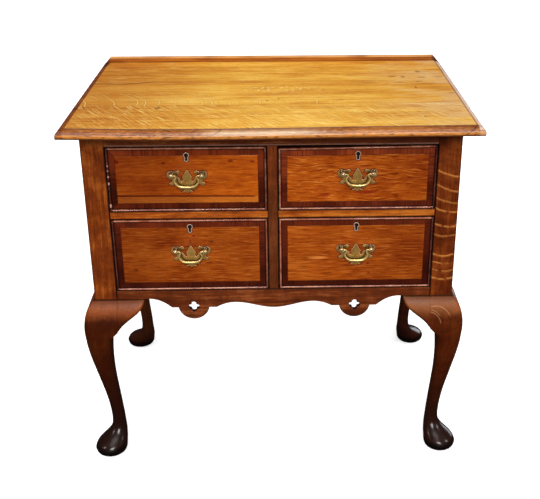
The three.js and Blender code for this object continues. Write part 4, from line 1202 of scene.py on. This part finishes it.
def leg_stations(ankle_inset, pad_inset):
    """A leg's sections from the top of the post to the floor. Each row is a height, how far the
    section reaches out and in from the case corner, and its outer, side and inner radii."""
    cusp = knee_line - knee_height
    calf_half = (calf_inner + knee_out(1.0)) / 2
    calf_inset = (calf_inner - knee_out(1.0)) / 2
    post = [(z, 0, post_width, arris, arris, arris) for z in (case_top - joint, knee_line)]
    down = np.linspace(0, 1, 28) ** 1.3
    seam = seam_height / knee_height
    below = np.clip((down - seam) / (1 - seam), 0, 1)
    outer_round = arris + (calf_half * 0.6 - arris) * np.sqrt(down)
    side_round = arris + (calf_half * 0.3 - arris) * below
    knee = np.column_stack([
        knee_line - joint - (knee_height - joint) * down,
        knee_out(down),
        post_width + (calf_inner - post_width) * below,
        outer_round, side_round, side_round,
    ])
    rows = []
    for share, place, width in shank_shares:
        z = cusp + (ankle_height - cusp) * share
        half = calf_half + (ankle_half - calf_half) * width
        inset = calf_inset + (ankle_inset - calf_inset) * place
        outer = half * (0.6 + 0.38 * math.sqrt(share))
        side = half * (0.3 + 0.68 * math.sqrt(share))
        rows.append((z, half - inset, half + inset, outer, side, side))
    for share, place, width in foot_shares:
        z = ankle_height + (pad_height - ankle_height) * share
        half = ankle_half + (pad_radius - ankle_half) * width
        inset = ankle_inset + (pad_inset - ankle_inset) * place
        rows.append((z, half - inset, half + inset, *[half * 0.98] * 3))
    for share, width in pad_shares:
        z = pad_height * (1 - share)
        half = pad_radius * width
        rows.append((z, half - pad_inset, half + pad_inset, *[half * 0.98] * 3))
    curved = spline(np.vstack([knee[-1:], rows]), 5)
    return np.vstack([post, knee, curved[1:]])


def leg_rings(stations, facets=9):
    """Rounded squares at each station. Every corner is a quarter circle of its own radius, with
    one more point on the straight before and after it."""
    z, outer, inner, outer_round, side_round, inner_round = stations.T
    low, high = -outer, inner
    radius = np.stack([outer_round, side_round, inner_round, side_round])
    sign_x = np.array([-1, 1, 1, -1])
    sign_y = np.array([-1, -1, 1, 1])
    centre_x = np.where(sign_x[:, None] < 0, low + radius, high - radius)
    centre_y = np.where(sign_y[:, None] < 0, low + radius, high - radius)
    straight = (high - low) - radius - np.roll(radius, -1, axis=0)
    angle = math.pi + math.pi / 2 * (np.arange(4)[:, None] + np.linspace(0, 1, facets))
    x = centre_x[..., None] + radius[..., None] * np.cos(angle)[:, None]
    y = centre_y[..., None] + radius[..., None] * np.sin(angle)[:, None]
    ahead = np.minimum(0.2 * straight, 0.002)
    behind = np.roll(ahead, 1, axis=0)
    start, end = angle[:, :1], angle[:, -1:]
    x_all = np.concatenate([
        x[..., :1] + (behind * np.sin(start))[..., None],
        x,
        x[..., -1:] - (ahead * np.sin(end))[..., None],
    ], axis=-1)
    y_all = np.concatenate([
        y[..., :1] - (behind * np.cos(start))[..., None],
        y,
        y[..., -1:] + (ahead * np.cos(end))[..., None],
    ], axis=-1)
    flat = np.stack([x_all, y_all], axis=-1).transpose(1, 0, 2, 3).reshape(len(z), -1, 2)
    return np.dstack([flat, np.repeat(z[:, None], flat.shape[1], axis=1)])


def knee_block(back_depth):
    """The block beside a knee, from the leg to its tip. Its upright sections end below on an
    ogee; the face stands out as the knee does at each level, set back by the square of the way
    along, and it is rounded over the lower arris."""
    ogee = bend(
        (post_width + joint, seam_height),
        (post_width + ear_width * 0.27, seam_height * 0.59),
        (post_width + ear_width * 0.96, seam_height * 0.46),
        (post_width + ear_width, 0.003),
        count=40,
    )
    rounded_height = 0.008
    x, drop = ogee[:, :1], ogee[:, 1:]
    along = np.linspace(0, 1, 40)[:, None]
    down = joint + (drop - joint) * np.linspace(0, 1, 26)
    eased_share = np.maximum(0, down - np.maximum(0, drop - rounded_height)) / rounded_height
    y = -knee_out(down / knee_height) + 0.003 * along**2 + 0.004 * eased_share**2
    face = np.stack([np.repeat(x, down.shape[1], axis=1), y, knee_line - down], axis=-1)
    back = np.full_like(x, back_depth)
    low = np.stack([x, back, knee_line - drop], axis=-1)
    high = np.stack([x, back, np.full_like(x, knee_line - joint)], axis=-1)
    return np.concatenate([face, low, high], axis=1)


# How far the ankle's and the pad's middle lie in from the case corner.
leg_insets = {"front": (0.0208, 0.0042), "rear": (0.030, 0.008)}
for row, end in [("front", 1), ("rear", -1)]:
    rings = leg_rings(leg_stations(*leg_insets[row]))
    for hand, side, finish in [("left", 1, left_oak), ("right", -1, right_oak)]:
        placed = at_corner(rings, side, end)
        leg = lofted(f"cabriole_leg_{row}_{hand}", placed, crease=leg_crease)
        piece(leg, finish, "case_oak", "carcass", f"{row}_{hand}_leg")
        side_block = at_corner(knee_block(0.018)[..., [1, 0, 2]], side, end)
        mesh = lofted(f"knee_block_side_{row}_{hand}", side_block, crease=leg_crease)
        piece(mesh, finish, "case_oak", "carcass", f"{row}_{hand}_side_knee_block")
        if row == "front":
            front_block = at_corner(knee_block(rail_depth), side, end)
            mesh = lofted(f"knee_block_front_{hand}", front_block, crease=leg_crease)
            piece(mesh, finish, "case_oak", "carcass", f"front_{hand}_knee_block")


# The case.


def quatrefoil(centre_x, centre_z):
    """Four round lobes about a centre, where neighbouring circles meet in a cusp."""
    reach, lobe = 0.0062, 0.005
    cusp = (reach + math.sqrt(2 * lobe**2 - reach**2)) / 2
    sweep = math.atan2(cusp, cusp - reach)
    turns = [math.pi / 2 * i for i in range(4)]
    return np.vstack([
        arc((centre_x + reach * math.cos(t), centre_z + reach * math.sin(t)), lobe, t - sweep, t + sweep, 16)
        for t in turns
    ])


def apron_outline():
    """The apron's edge: half of its lower edge is drawn from the middle out, as two hollows, a
    round drop and an ogee up to the knee block, then mirrored, and closed along the top."""
    end = case_half - post_width - joint
    flat_drop, hollow_drop, middle_drop = 0.020, 0.0095, 0.022
    outer_run, inner_run, block_gap = 0.013, 0.015, 0.0105
    pendant_half = math.sqrt(pendant_radius**2 - (flat_drop - pendant_depth) ** 2)
    dip = math.asin((flat_drop - pendant_depth) / pendant_radius)
    outer_flat = opening_centre + pendant_half + outer_run
    ogee_end = case_half - post_width - ear_width - block_gap
    inner_flat = opening_centre - pendant_half - inner_run
    crest = inner_flat * 0.676
    swing = crest * 0.36
    half = np.vstack([
        bend((0, -middle_drop), (swing, -middle_drop), (crest - swing, -hollow_drop), (crest, -hollow_drop)),
        bend((crest, -hollow_drop), ((inner_flat + crest) / 2, -hollow_drop), (inner_flat, -flat_drop)),
        arc((opening_centre, -pendant_depth), pendant_radius, math.pi + dip, 2 * math.pi - dip, 40),
        bend((outer_flat, -flat_drop), ((outer_flat + ogee_end) / 2, 0), (ogee_end, 0)),
        [(end, 0), (end, 0.020)],
    ])
    whole = np.vstack([half, half[:0:-1] * [-1, 1]])
    return whole + [0, knee_line]


def scrolled_apron():
    """The apron: a thin board with the cut edge and two pierced drops, and the deeper rail behind
    its upper part."""
    web, rail_web, pierced_drop = 0.010, 0.011, 0.0186
    pierced = [quatrefoil(side * opening_centre, knee_line - pierced_drop) for side in (-1, 1)]
    board = cut_out("apron_board", [apron_outline(), *pierced], web, 0.0007)
    end, low, high = case_half - post_width - joint, knee_line - 0.002, knee_line + 0.020
    rail_outline = [(-end, low), (end, low), (end, high), (-end, high)]
    rail = cut_out("apron_rail", [rail_outline], rail_web, 0.0005)
    return joined("scrolled_apron", [at_face(board, web / 2), at_face(rail, rail_depth - rail_web / 2)])


piece(scrolled_apron(), apron_oak, "case_oak", "carcass", "apron")


def side_panel(name, side):
    """A side between its posts: a board whose lower edge is a shallow arch with two ogee ends."""
    start, stop = post_width + joint, case_depth - post_width - joint
    foot, crown = 0.060, knee_line + 0.012
    thickness, set_back = 0.016, 0.002
    haunch = (stop - start - foot * 2) / 4
    arch = np.vstack([
        bend((start + foot, knee_line), (start + foot + haunch / 2, crown), (start + foot + haunch, crown)),
        bend((stop - foot - haunch, crown), (stop - foot - haunch / 2, crown), (stop - foot, knee_line)),
    ])
    high = case_top - joint
    outline = np.vstack([[(start, high), (start, knee_line)], arch, [(stop, knee_line), (stop, high)]])
    board = cut_out(name, [outline], thickness, 0.0005)
    x = side * (case_half - set_back - thickness / 2)
    board.transform(Matrix(((0, -side, 0, x), (1, 0, 0, case_front), (0, 0, 1, 0), (0, 0, 0, 1))))
    if side < 0:
        board.flip_normals()
    return board


for hand, side in [("left", -1), ("right", 1)]:
    piece(side_panel(f"side_board_{hand}", side), side_oak, "case_oak", "carcass", f"side_panel_{hand}")

worked_board("top_rail", top_rail_oak, "case_oak")
worked_board("muntin", muntin_oak, "case_oak")
worked_board("mid_rail_left", mid_left_oak, "case_oak", 0.0007)
worked_board("mid_rail_right", mid_right_oak, "case_oak", 0.0007)
worked_board("back_panel", cross_lining_oak, "inner_oak")
for level in ("lower", "upper"):
    for place in ("left", "right", "middle"):
        worked_board(f"{level}_runner_{place}", lining_oak, "inner_oak")


# The drawers.


def keyhole_outline(x, z, grow):
    """A round head above straight sides that close in to a round foot; grow moves the line out."""
    head_radius, height = 0.0055, 0.018
    radius, foot = head_radius + grow, 0.0037 + grow
    head = z + height / 2 - head_radius
    low = z - height / 2 - grow
    side = math.asin(foot / radius)
    return np.vstack([
        arc((x, head), radius, side - math.pi / 2, math.pi * 1.5 - side, 30),
        bend((x - foot, low + foot / 2), (x - foot, low), (x, low), count=8),
        bend((x, low), (x + foot, low), (x + foot, low + foot / 2), count=8)[1:],
    ])


def drawer_bead(name, low, high, worn):
    """The round-nosed strip round a drawer: half an ellipse, closed behind, carried round the
    front with mitred corners. Its outer side stands a hair outside the front. The top edge is
    lower at its left end by what has worn away."""
    turn = np.linspace(0, math.pi, 11)
    outside, root = -0.0001, 0.004
    inset = np.concatenate([bead_width / 2 * (1 - np.cos(turn)), [bead_width, outside]])
    inset[0] = outside
    depth = np.concatenate([-bead_proud * np.sin(turn), [root, root]])
    corners = [
        (low.x, low.z, 1, 1),
        (high.x, low.z, -1, 1),
        (high.x, high.z, -1, -1),
        (low.x, high.z - worn, 1, -1),
    ]
    rings = [
        np.column_stack([x + sx * inset, case_front + depth, z + sz * inset]) for x, z, sx, sz in corners
    ]
    return lofted(name, rings, endless=True, crease=bead_crease)


# The right half of a handle plate's edge, from its top to its tip, in shares of the plate's half
# width and its height. The runs meet in cusps.
plate_runs = [
    [(0, 0), (0.045, 0.022), (0.115, 0.135), (0.185, 0.235), (0.257, 0.32)],
    [(0.257, 0.32), (0.2, 0.405), (0.25, 0.485), (0.34, 0.44), (0.372, 0.37), (0.472, 0.288),
     (0.505, 0.2), (0.424, 0.165), (0.337, 0.128)],
    [(0.337, 0.128), (0.369, 0.07), (0.464, 0.032), (0.6, 0.075), (0.75, 0.042), (0.88, 0.055),
     (0.97, 0.13), (1, 0.215), (0.965, 0.31), (0.87, 0.385), (0.765, 0.435), (0.755, 0.51), (0.895, 0.572)],
    [(0.895, 0.572), (0.845, 0.64), (0.755, 0.674), (0.67, 0.63), (0.597, 0.592), (0.53, 0.66),
     (0.44, 0.76), (0.358, 0.853)],
    [(0.358, 0.853), (0.26, 0.83), (0.15, 0.85), (0.17, 0.885), (0.275, 0.91)],
    [(0.275, 0.91), (0.17, 0.93), (0.09, 0.935), (0, 1)],
]


def plate_outline(x, z):
    """The handle plate's edge: a smooth curve through each run of its right half, mirrored."""
    half = np.vstack([spline(run, 5)[:-1] for run in plate_runs] + [[(0, 1)]])
    half_width, height, rise = 0.0377, 0.047, 0.007
    right = half * [half_width, -height] + [0, rise]
    whole = np.vstack([right, right[-2:0:-1] * [-1, 1]])
    return whole + [x, z]


# The middle line of half a bail from its lowest place: shares of its reach and drop, and how
# much of the swelling is left.
bail_shares = [
    (0, 1, 1), (0.3, 0.985, 0.94), (0.54, 0.9, 0.7), (0.7, 0.72, 0.35), (0.775, 0.5, 0.1),
    (0.76, 0.34, 0), (0.69, 0.195, 0), (0.69, 0.065, 0), (0.75, 0, 0),
]


def swan_neck_bail(name, x, y, z):
    """A round bar whose middle line dips from one pin to the other. Its radius swells towards the
    middle, and each circle stands square to the line."""
    reach, drop = handle_spread, 0.0226
    thin, swelling, pin_radius = 0.0014, 0.0008, 0.00135
    half = [(a * reach, -b * drop, thin + swelling * swell) for a, b, swell in bail_shares]
    half += [(end, 0, pin_radius) for end in (0.84 * reach, 0.95 * reach, reach + 0.0021)]
    half = np.array(half)
    line = spline(np.vstack([half[:0:-1] * [-1, 1, 1], half]), 7)
    slope = np.gradient(line[:, :2], axis=0)
    slope /= np.linalg.norm(slope, axis=1, keepdims=True)
    angle = np.linspace(0, 2 * math.pi, 18, endpoint=False)
    across = line[:, 2:] * np.cos(angle)
    deep = line[:, 2:] * np.sin(angle)
    rings = np.stack([
        x + line[:, :1] - slope[:, 1:] * across,
        y + deep,
        z + line[:, 1:2] + slope[:, :1] * across,
    ], axis=-1)
    return lofted(name, rings)


# A post behind its ball: the nut, the stud, the collar on the plate and the neck, as depths
# behind the face of the case and radii.
post_profile = [
    (0.0223, 0.0001), (0.0223, 0.0058), (0.0193, 0.0060), (0.0193, 0.0021), (0.0, 0.0021),
    (-0.0018, 0.0021), (-0.0019, 0.0040), (-0.0026, 0.0042), (-0.0034, 0.0032),
    (-0.0046, 0.0021), (-0.0088, 0.0020),
]


def handle_posts(name, x, z):
    """The two posts of a handle: a nut behind the drawer front, a stud through it, a collar on
    the plate, a neck and a ball."""
    ball_place, ball_radius, neck_end = 0.0145, 0.0046, 0.0104
    ball = arc((ball_place, 0), ball_radius, math.radians(28), math.pi, 16)
    head = np.column_stack([-ball[:, 0], np.maximum(ball[:, 1], 0.0001)])
    head = head[np.argsort(-head[:, 0])]
    rows = np.vstack([post_profile, head[head[:, 0] < -neck_end]])
    rows[:, 0] += case_front
    return joined(name, [turned(name, rows, x + side * handle_spread, z) for side in (-1, 1)])


def veneered_face(name, low, high, worn, x, keyhole_z):
    """The sheet of veneer inside a drawer's bead, with its keyhole."""
    thickness, proud, inset = 0.0012, 0.00015, 0.0034
    left, right, bottom, top = low.x + inset, high.x - inset, low.z + inset, high.z - inset
    edge = [(left, bottom), (right, bottom), (right, top), (left, top - worn)]
    sheet = cut_out(name, [edge, keyhole_outline(x, keyhole_z, 0.0001)], thickness, 0.00005)
    return at_face(sheet, thickness / 2 - proud)


def keyhole_rim(name, x, z):
    """The metal that lines a keyhole and stands a little proud of the face."""
    thickness, proud = 0.0062, 0.0006
    outlines = [keyhole_outline(x, z, 0.00005), keyhole_outline(x, z, -0.0016)]
    return at_face(cut_out(name, outlines, thickness, 0.0004, 3), thickness / 2 - proud)


def handle_plate(name, x, z):
    """A handle's plate: a thin one with the whole outline, and a slightly smaller one on it."""
    outline = [plate_outline(x, z)]
    edge = cut_out(f"{name}_edge", outline, 0.0009, 0.0003)
    raised = cut_out(f"{name}_face", outline, 0.0011, 0.0003, grow=-0.0006)
    return joined(name, [at_face(edge, -joint - 0.00045), at_face(raised, -joint - 0.00105)])


def shadow_lines(name, x, handle_z, keyhole_z):
    """Thin dark lines of painted shadow on a drawer's face, round the handle's plate and round the keyhole.
    """
    thickness, ease = 0.00016, 0.00004
    keyhole = [keyhole_outline(x, keyhole_z, 0.0009), keyhole_outline(x, keyhole_z, 0.0001)]
    plate_line = cut_out(f"{name}_plate", [plate_outline(x, handle_z)], thickness, ease, 1, 0.0010)
    keyhole_line = cut_out(f"{name}_keyhole", keyhole, thickness, ease, 1)
    return at_face(joined(name, [plate_line, keyhole_line]), -0.0002)


# Which side of a drawer's field is dimmer, from where, and what its colours are multiplied by.
dim_left_end = (-1, -0.13, (0.50, 0.42, 0.5))
dim_left = (-1, -0.05, (0.74, 0.68, 0.6))
dim_right = (1, -0.05, (0.74, 0.68, 0.6))

# For each drawer: where its noise starts, the figure of its field, its dimmer side, what the
# field's colours are multiplied by, and the two tones of its band.
drawer_looks = {
    "upper_left": (1.3, ("knots", dim_left_end, (1.20, 1.18, 0.85), tone(95, 33, 10), tone(136, 52, 16))),
    "lower_left": (6.1, ("calm", dim_left, (0.80, 0.78, 0.9), tone(80, 27, 10), tone(116, 42, 16))),
    "upper_right": (3.7, ("wavy", dim_right, (1.08, 1.06, 1.0), tone(114, 41, 13), tone(162, 68, 30))),
    "lower_right": (8.9, ("streaky", dim_right, (0.89, 0.86, 0.95), tone(78, 26, 9), tone(112, 40, 14))),
}
linings = {
    "left_side": lining_oak, "right_side": lining_oak, "back": cross_lining_oak, "bottom": cross_lining_oak,
}
for name, (seed, look) in drawer_looks.items():
    low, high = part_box(f"{name}_drawer_front")
    body = f"{name}_drawer"
    x = (low.x + high.x) / 2
    level = name.split("_")[0]
    handle_z, keyhole_z = handle_heights[level], keyhole_heights[level]
    worn = edge_wear if name == "upper_right" else 0.0
    veneer = drawer_veneer(f"{name}_veneer", low, high, worn, handle_z, seed, look)
    sheet = veneered_face(f"{name}_veneered_face", low, high, worn, x, keyhole_z)
    piece(sheet, veneer, "drawer_front_veneer", body)
    piece(drawer_bead(f"{name}_bead", low, high, worn), bead_finish, "drawer_front_veneer", body)
    own_shape(f"{name}_drawer_front", veneer)
    for part, finish in linings.items():
        worked_board(f"{name}_drawer_{part}", finish, "inner_oak", 0.0004)
    own_shape(f"{name}_lock", iron)
    piece(keyhole_rim(f"{name}_keyhole_rim", x, keyhole_z), rim_finish, "brass", body)
    piece(handle_plate(f"{name}_plate", x, handle_z), brass, "brass", body, f"{name}_handle_plate")
    piece(handle_posts(f"{name}_posts", x, handle_z), post_brass, "brass", body)
    # Painted shadow round the plate and the keyhole.
    lines = shadow_lines(f"{name}_shadow_lines", x, handle_z, keyhole_z)
    piece(lines, shadow_line_finish, "drawer_front_veneer", body)
    bail = swan_neck_bail(f"{name}_bail_bar", x, case_front - 0.0145, handle_z)
    piece(bail, bail_brass, "brass", f"{name}_bail", f"{name}_handle_bail")


# The floor, the light and the camera.


def pale_floor():
    """White paint that stays pale in the shade. What the floor gives back to the piece is held
    down, as a dark room would."""
    f = Finish("pale_floor")
    speck = f.noise(f.place, 3, 2)
    seen = f.node("LightPath", out="Is Camera Ray")
    pale = f.mix(speck, tone(250, 250, 250), tone(253, 253, 253))
    glossy = f.node("LightPath", out="Is Glossy Ray")
    given_back = f.mix(glossy, (0.16, 0.15, 0.14, 1), (0.02, 0.02, 0.02, 1))
    glow = f.mix(seen, (0, 0, 0, 1), (0.55, 0.55, 0.55, 1))
    f.feed(f.shader.inputs["Emission Color"], glow)
    colour = f.mix(seen, given_back, pale)
    return f.done(colour, 1.0, specular_ior_level=0.0, emission_strength=1.0)


floor_mesh = bpy.data.meshes.new("studio_floor")
floor_half = 14.0
floor_corners = [(x * floor_half, y * floor_half, 0) for x, y in ((-1, -1), (1, -1), (1, 1), (-1, 1))]
floor_mesh.from_pydata(floor_corners, [], [(0, 1, 2, 3)])
floor_mesh.materials.append(pale_floor())
floor = bpy.data.objects.new("studio_floor", floor_mesh)
bpy.context.scene.collection.objects.link(floor)


def aimed(name, lamp, place, aim):
    """Puts a lamp at a place, facing a point."""
    thing = bpy.data.objects.new(name, lamp)
    thing.location = place
    away = Vector(place) - Vector(aim)
    thing.rotation_mode = "QUATERNION"
    thing.rotation_quaternion = away.to_track_quat("Z", "Y")
    bpy.context.scene.collection.objects.link(thing)


def soft_light(name, place, aim, width, height, watts, colour=(1, 1, 1)):
    """A large rectangular lamp."""
    lamp = bpy.data.lights.new(name, "AREA")
    lamp.shape = "RECTANGLE"
    lamp.size = width
    lamp.size_y = height
    lamp.energy = watts
    lamp.color = colour
    aimed(name, lamp, place, aim)


def sky_light(name, place, strength, spread):
    """Even light from one side of the sky, as wide as the spread in degrees."""
    lamp = bpy.data.lights.new(name, "SUN")
    lamp.energy = strength
    lamp.angle = math.radians(spread)
    aimed(name, lamp, place, (0, 0, 0))


sky_light("high_light", (-0.1, -0.6, 2.2), 0.9, 40)
sky_light("front_light", (0.1, -2.2, 1.35), 1.9, 22)
soft_light("ceiling_light", (-0.06, -0.62, 2.7), (0, -0.2, 0.6), 0.3, 0.3, 8)
soft_light("left_light", (-2.2, -1.2, 1.6), (0, 0, 0.3), 0.35, 0.5, 7, (1.0, 0.98, 0.95))
soft_light("right_light", (2.2, -1.0, 1.6), (0, 0, 0.3), 0.35, 0.5, 10, (0.88, 0.94, 1.0))
soft_light("window_light", (2.0, 1.9, 0.36), (0.25, -0.1, 0.10), 1.7, 0.6, 15, (0.85, 0.92, 1.0))

# The sky gives little light, hardly shows in what shines, and is white to the camera.
world = bpy.data.worlds.new("studio")
world.use_nodes = True
sky = world.node_tree
background = sky.nodes["Background"]
background.inputs["Color"].default_value = (1, 1, 1, 1)
path = sky.nodes.new("ShaderNodeLightPath")
dimmed = sky.nodes.new("ShaderNodeMapRange")
sky.links.new(path.outputs["Is Glossy Ray"], dimmed.inputs["Value"])
dimmed.inputs["To Min"].default_value = 0.40
dimmed.inputs["To Max"].default_value = 0.04
seen = sky.nodes.new("ShaderNodeMath")
seen.operation = "MAXIMUM"
sky.links.new(dimmed.outputs["Result"], seen.inputs[0])
sky.links.new(path.outputs["Is Camera Ray"], seen.inputs[1])
sky.links.new(seen.outputs["Value"], background.inputs["Strength"])
bpy.context.scene.world = world
bpy.context.scene.view_settings.view_transform = "Standard"

# The photograph's camera: its place, how far it is turned to the right, tilted and rolled, in
# degrees, and a lens with a shifted picture.
camera_place = (0.011647, -1.743915, 1.228445)
camera_turns = (1.721, -22.652, 0.062)
camera = bpy.data.cameras.new("photo_camera")
camera.sensor_width = 36
camera.lens = 58.98
camera.shift_x = -0.0622
camera.shift_y = -0.1024
camera.clip_end = 60
eye = bpy.data.objects.new("photo_camera", camera)
turn_angle, tilt, roll = (math.radians(degrees) for degrees in camera_turns)
ahead = np.array([math.sin(turn_angle), math.cos(turn_angle), 0]) * math.cos(tilt)
ahead[2] = math.sin(tilt)
right = np.array([math.cos(turn_angle), -math.sin(turn_angle), 0])
above = np.cross(right, ahead)
rolled_right = right * math.cos(roll) + above * math.sin(roll)
rolled_above = above * math.cos(roll) - right * math.sin(roll)
pose = np.eye(4)
pose[:3, :3] = np.column_stack([rolled_right, rolled_above, -ahead])
pose[:3, 3] = camera_place
eye.matrix_world = Matrix(pose.tolist())
bpy.context.scene.collection.objects.link(eye)
bpy.context.scene.camera = eye
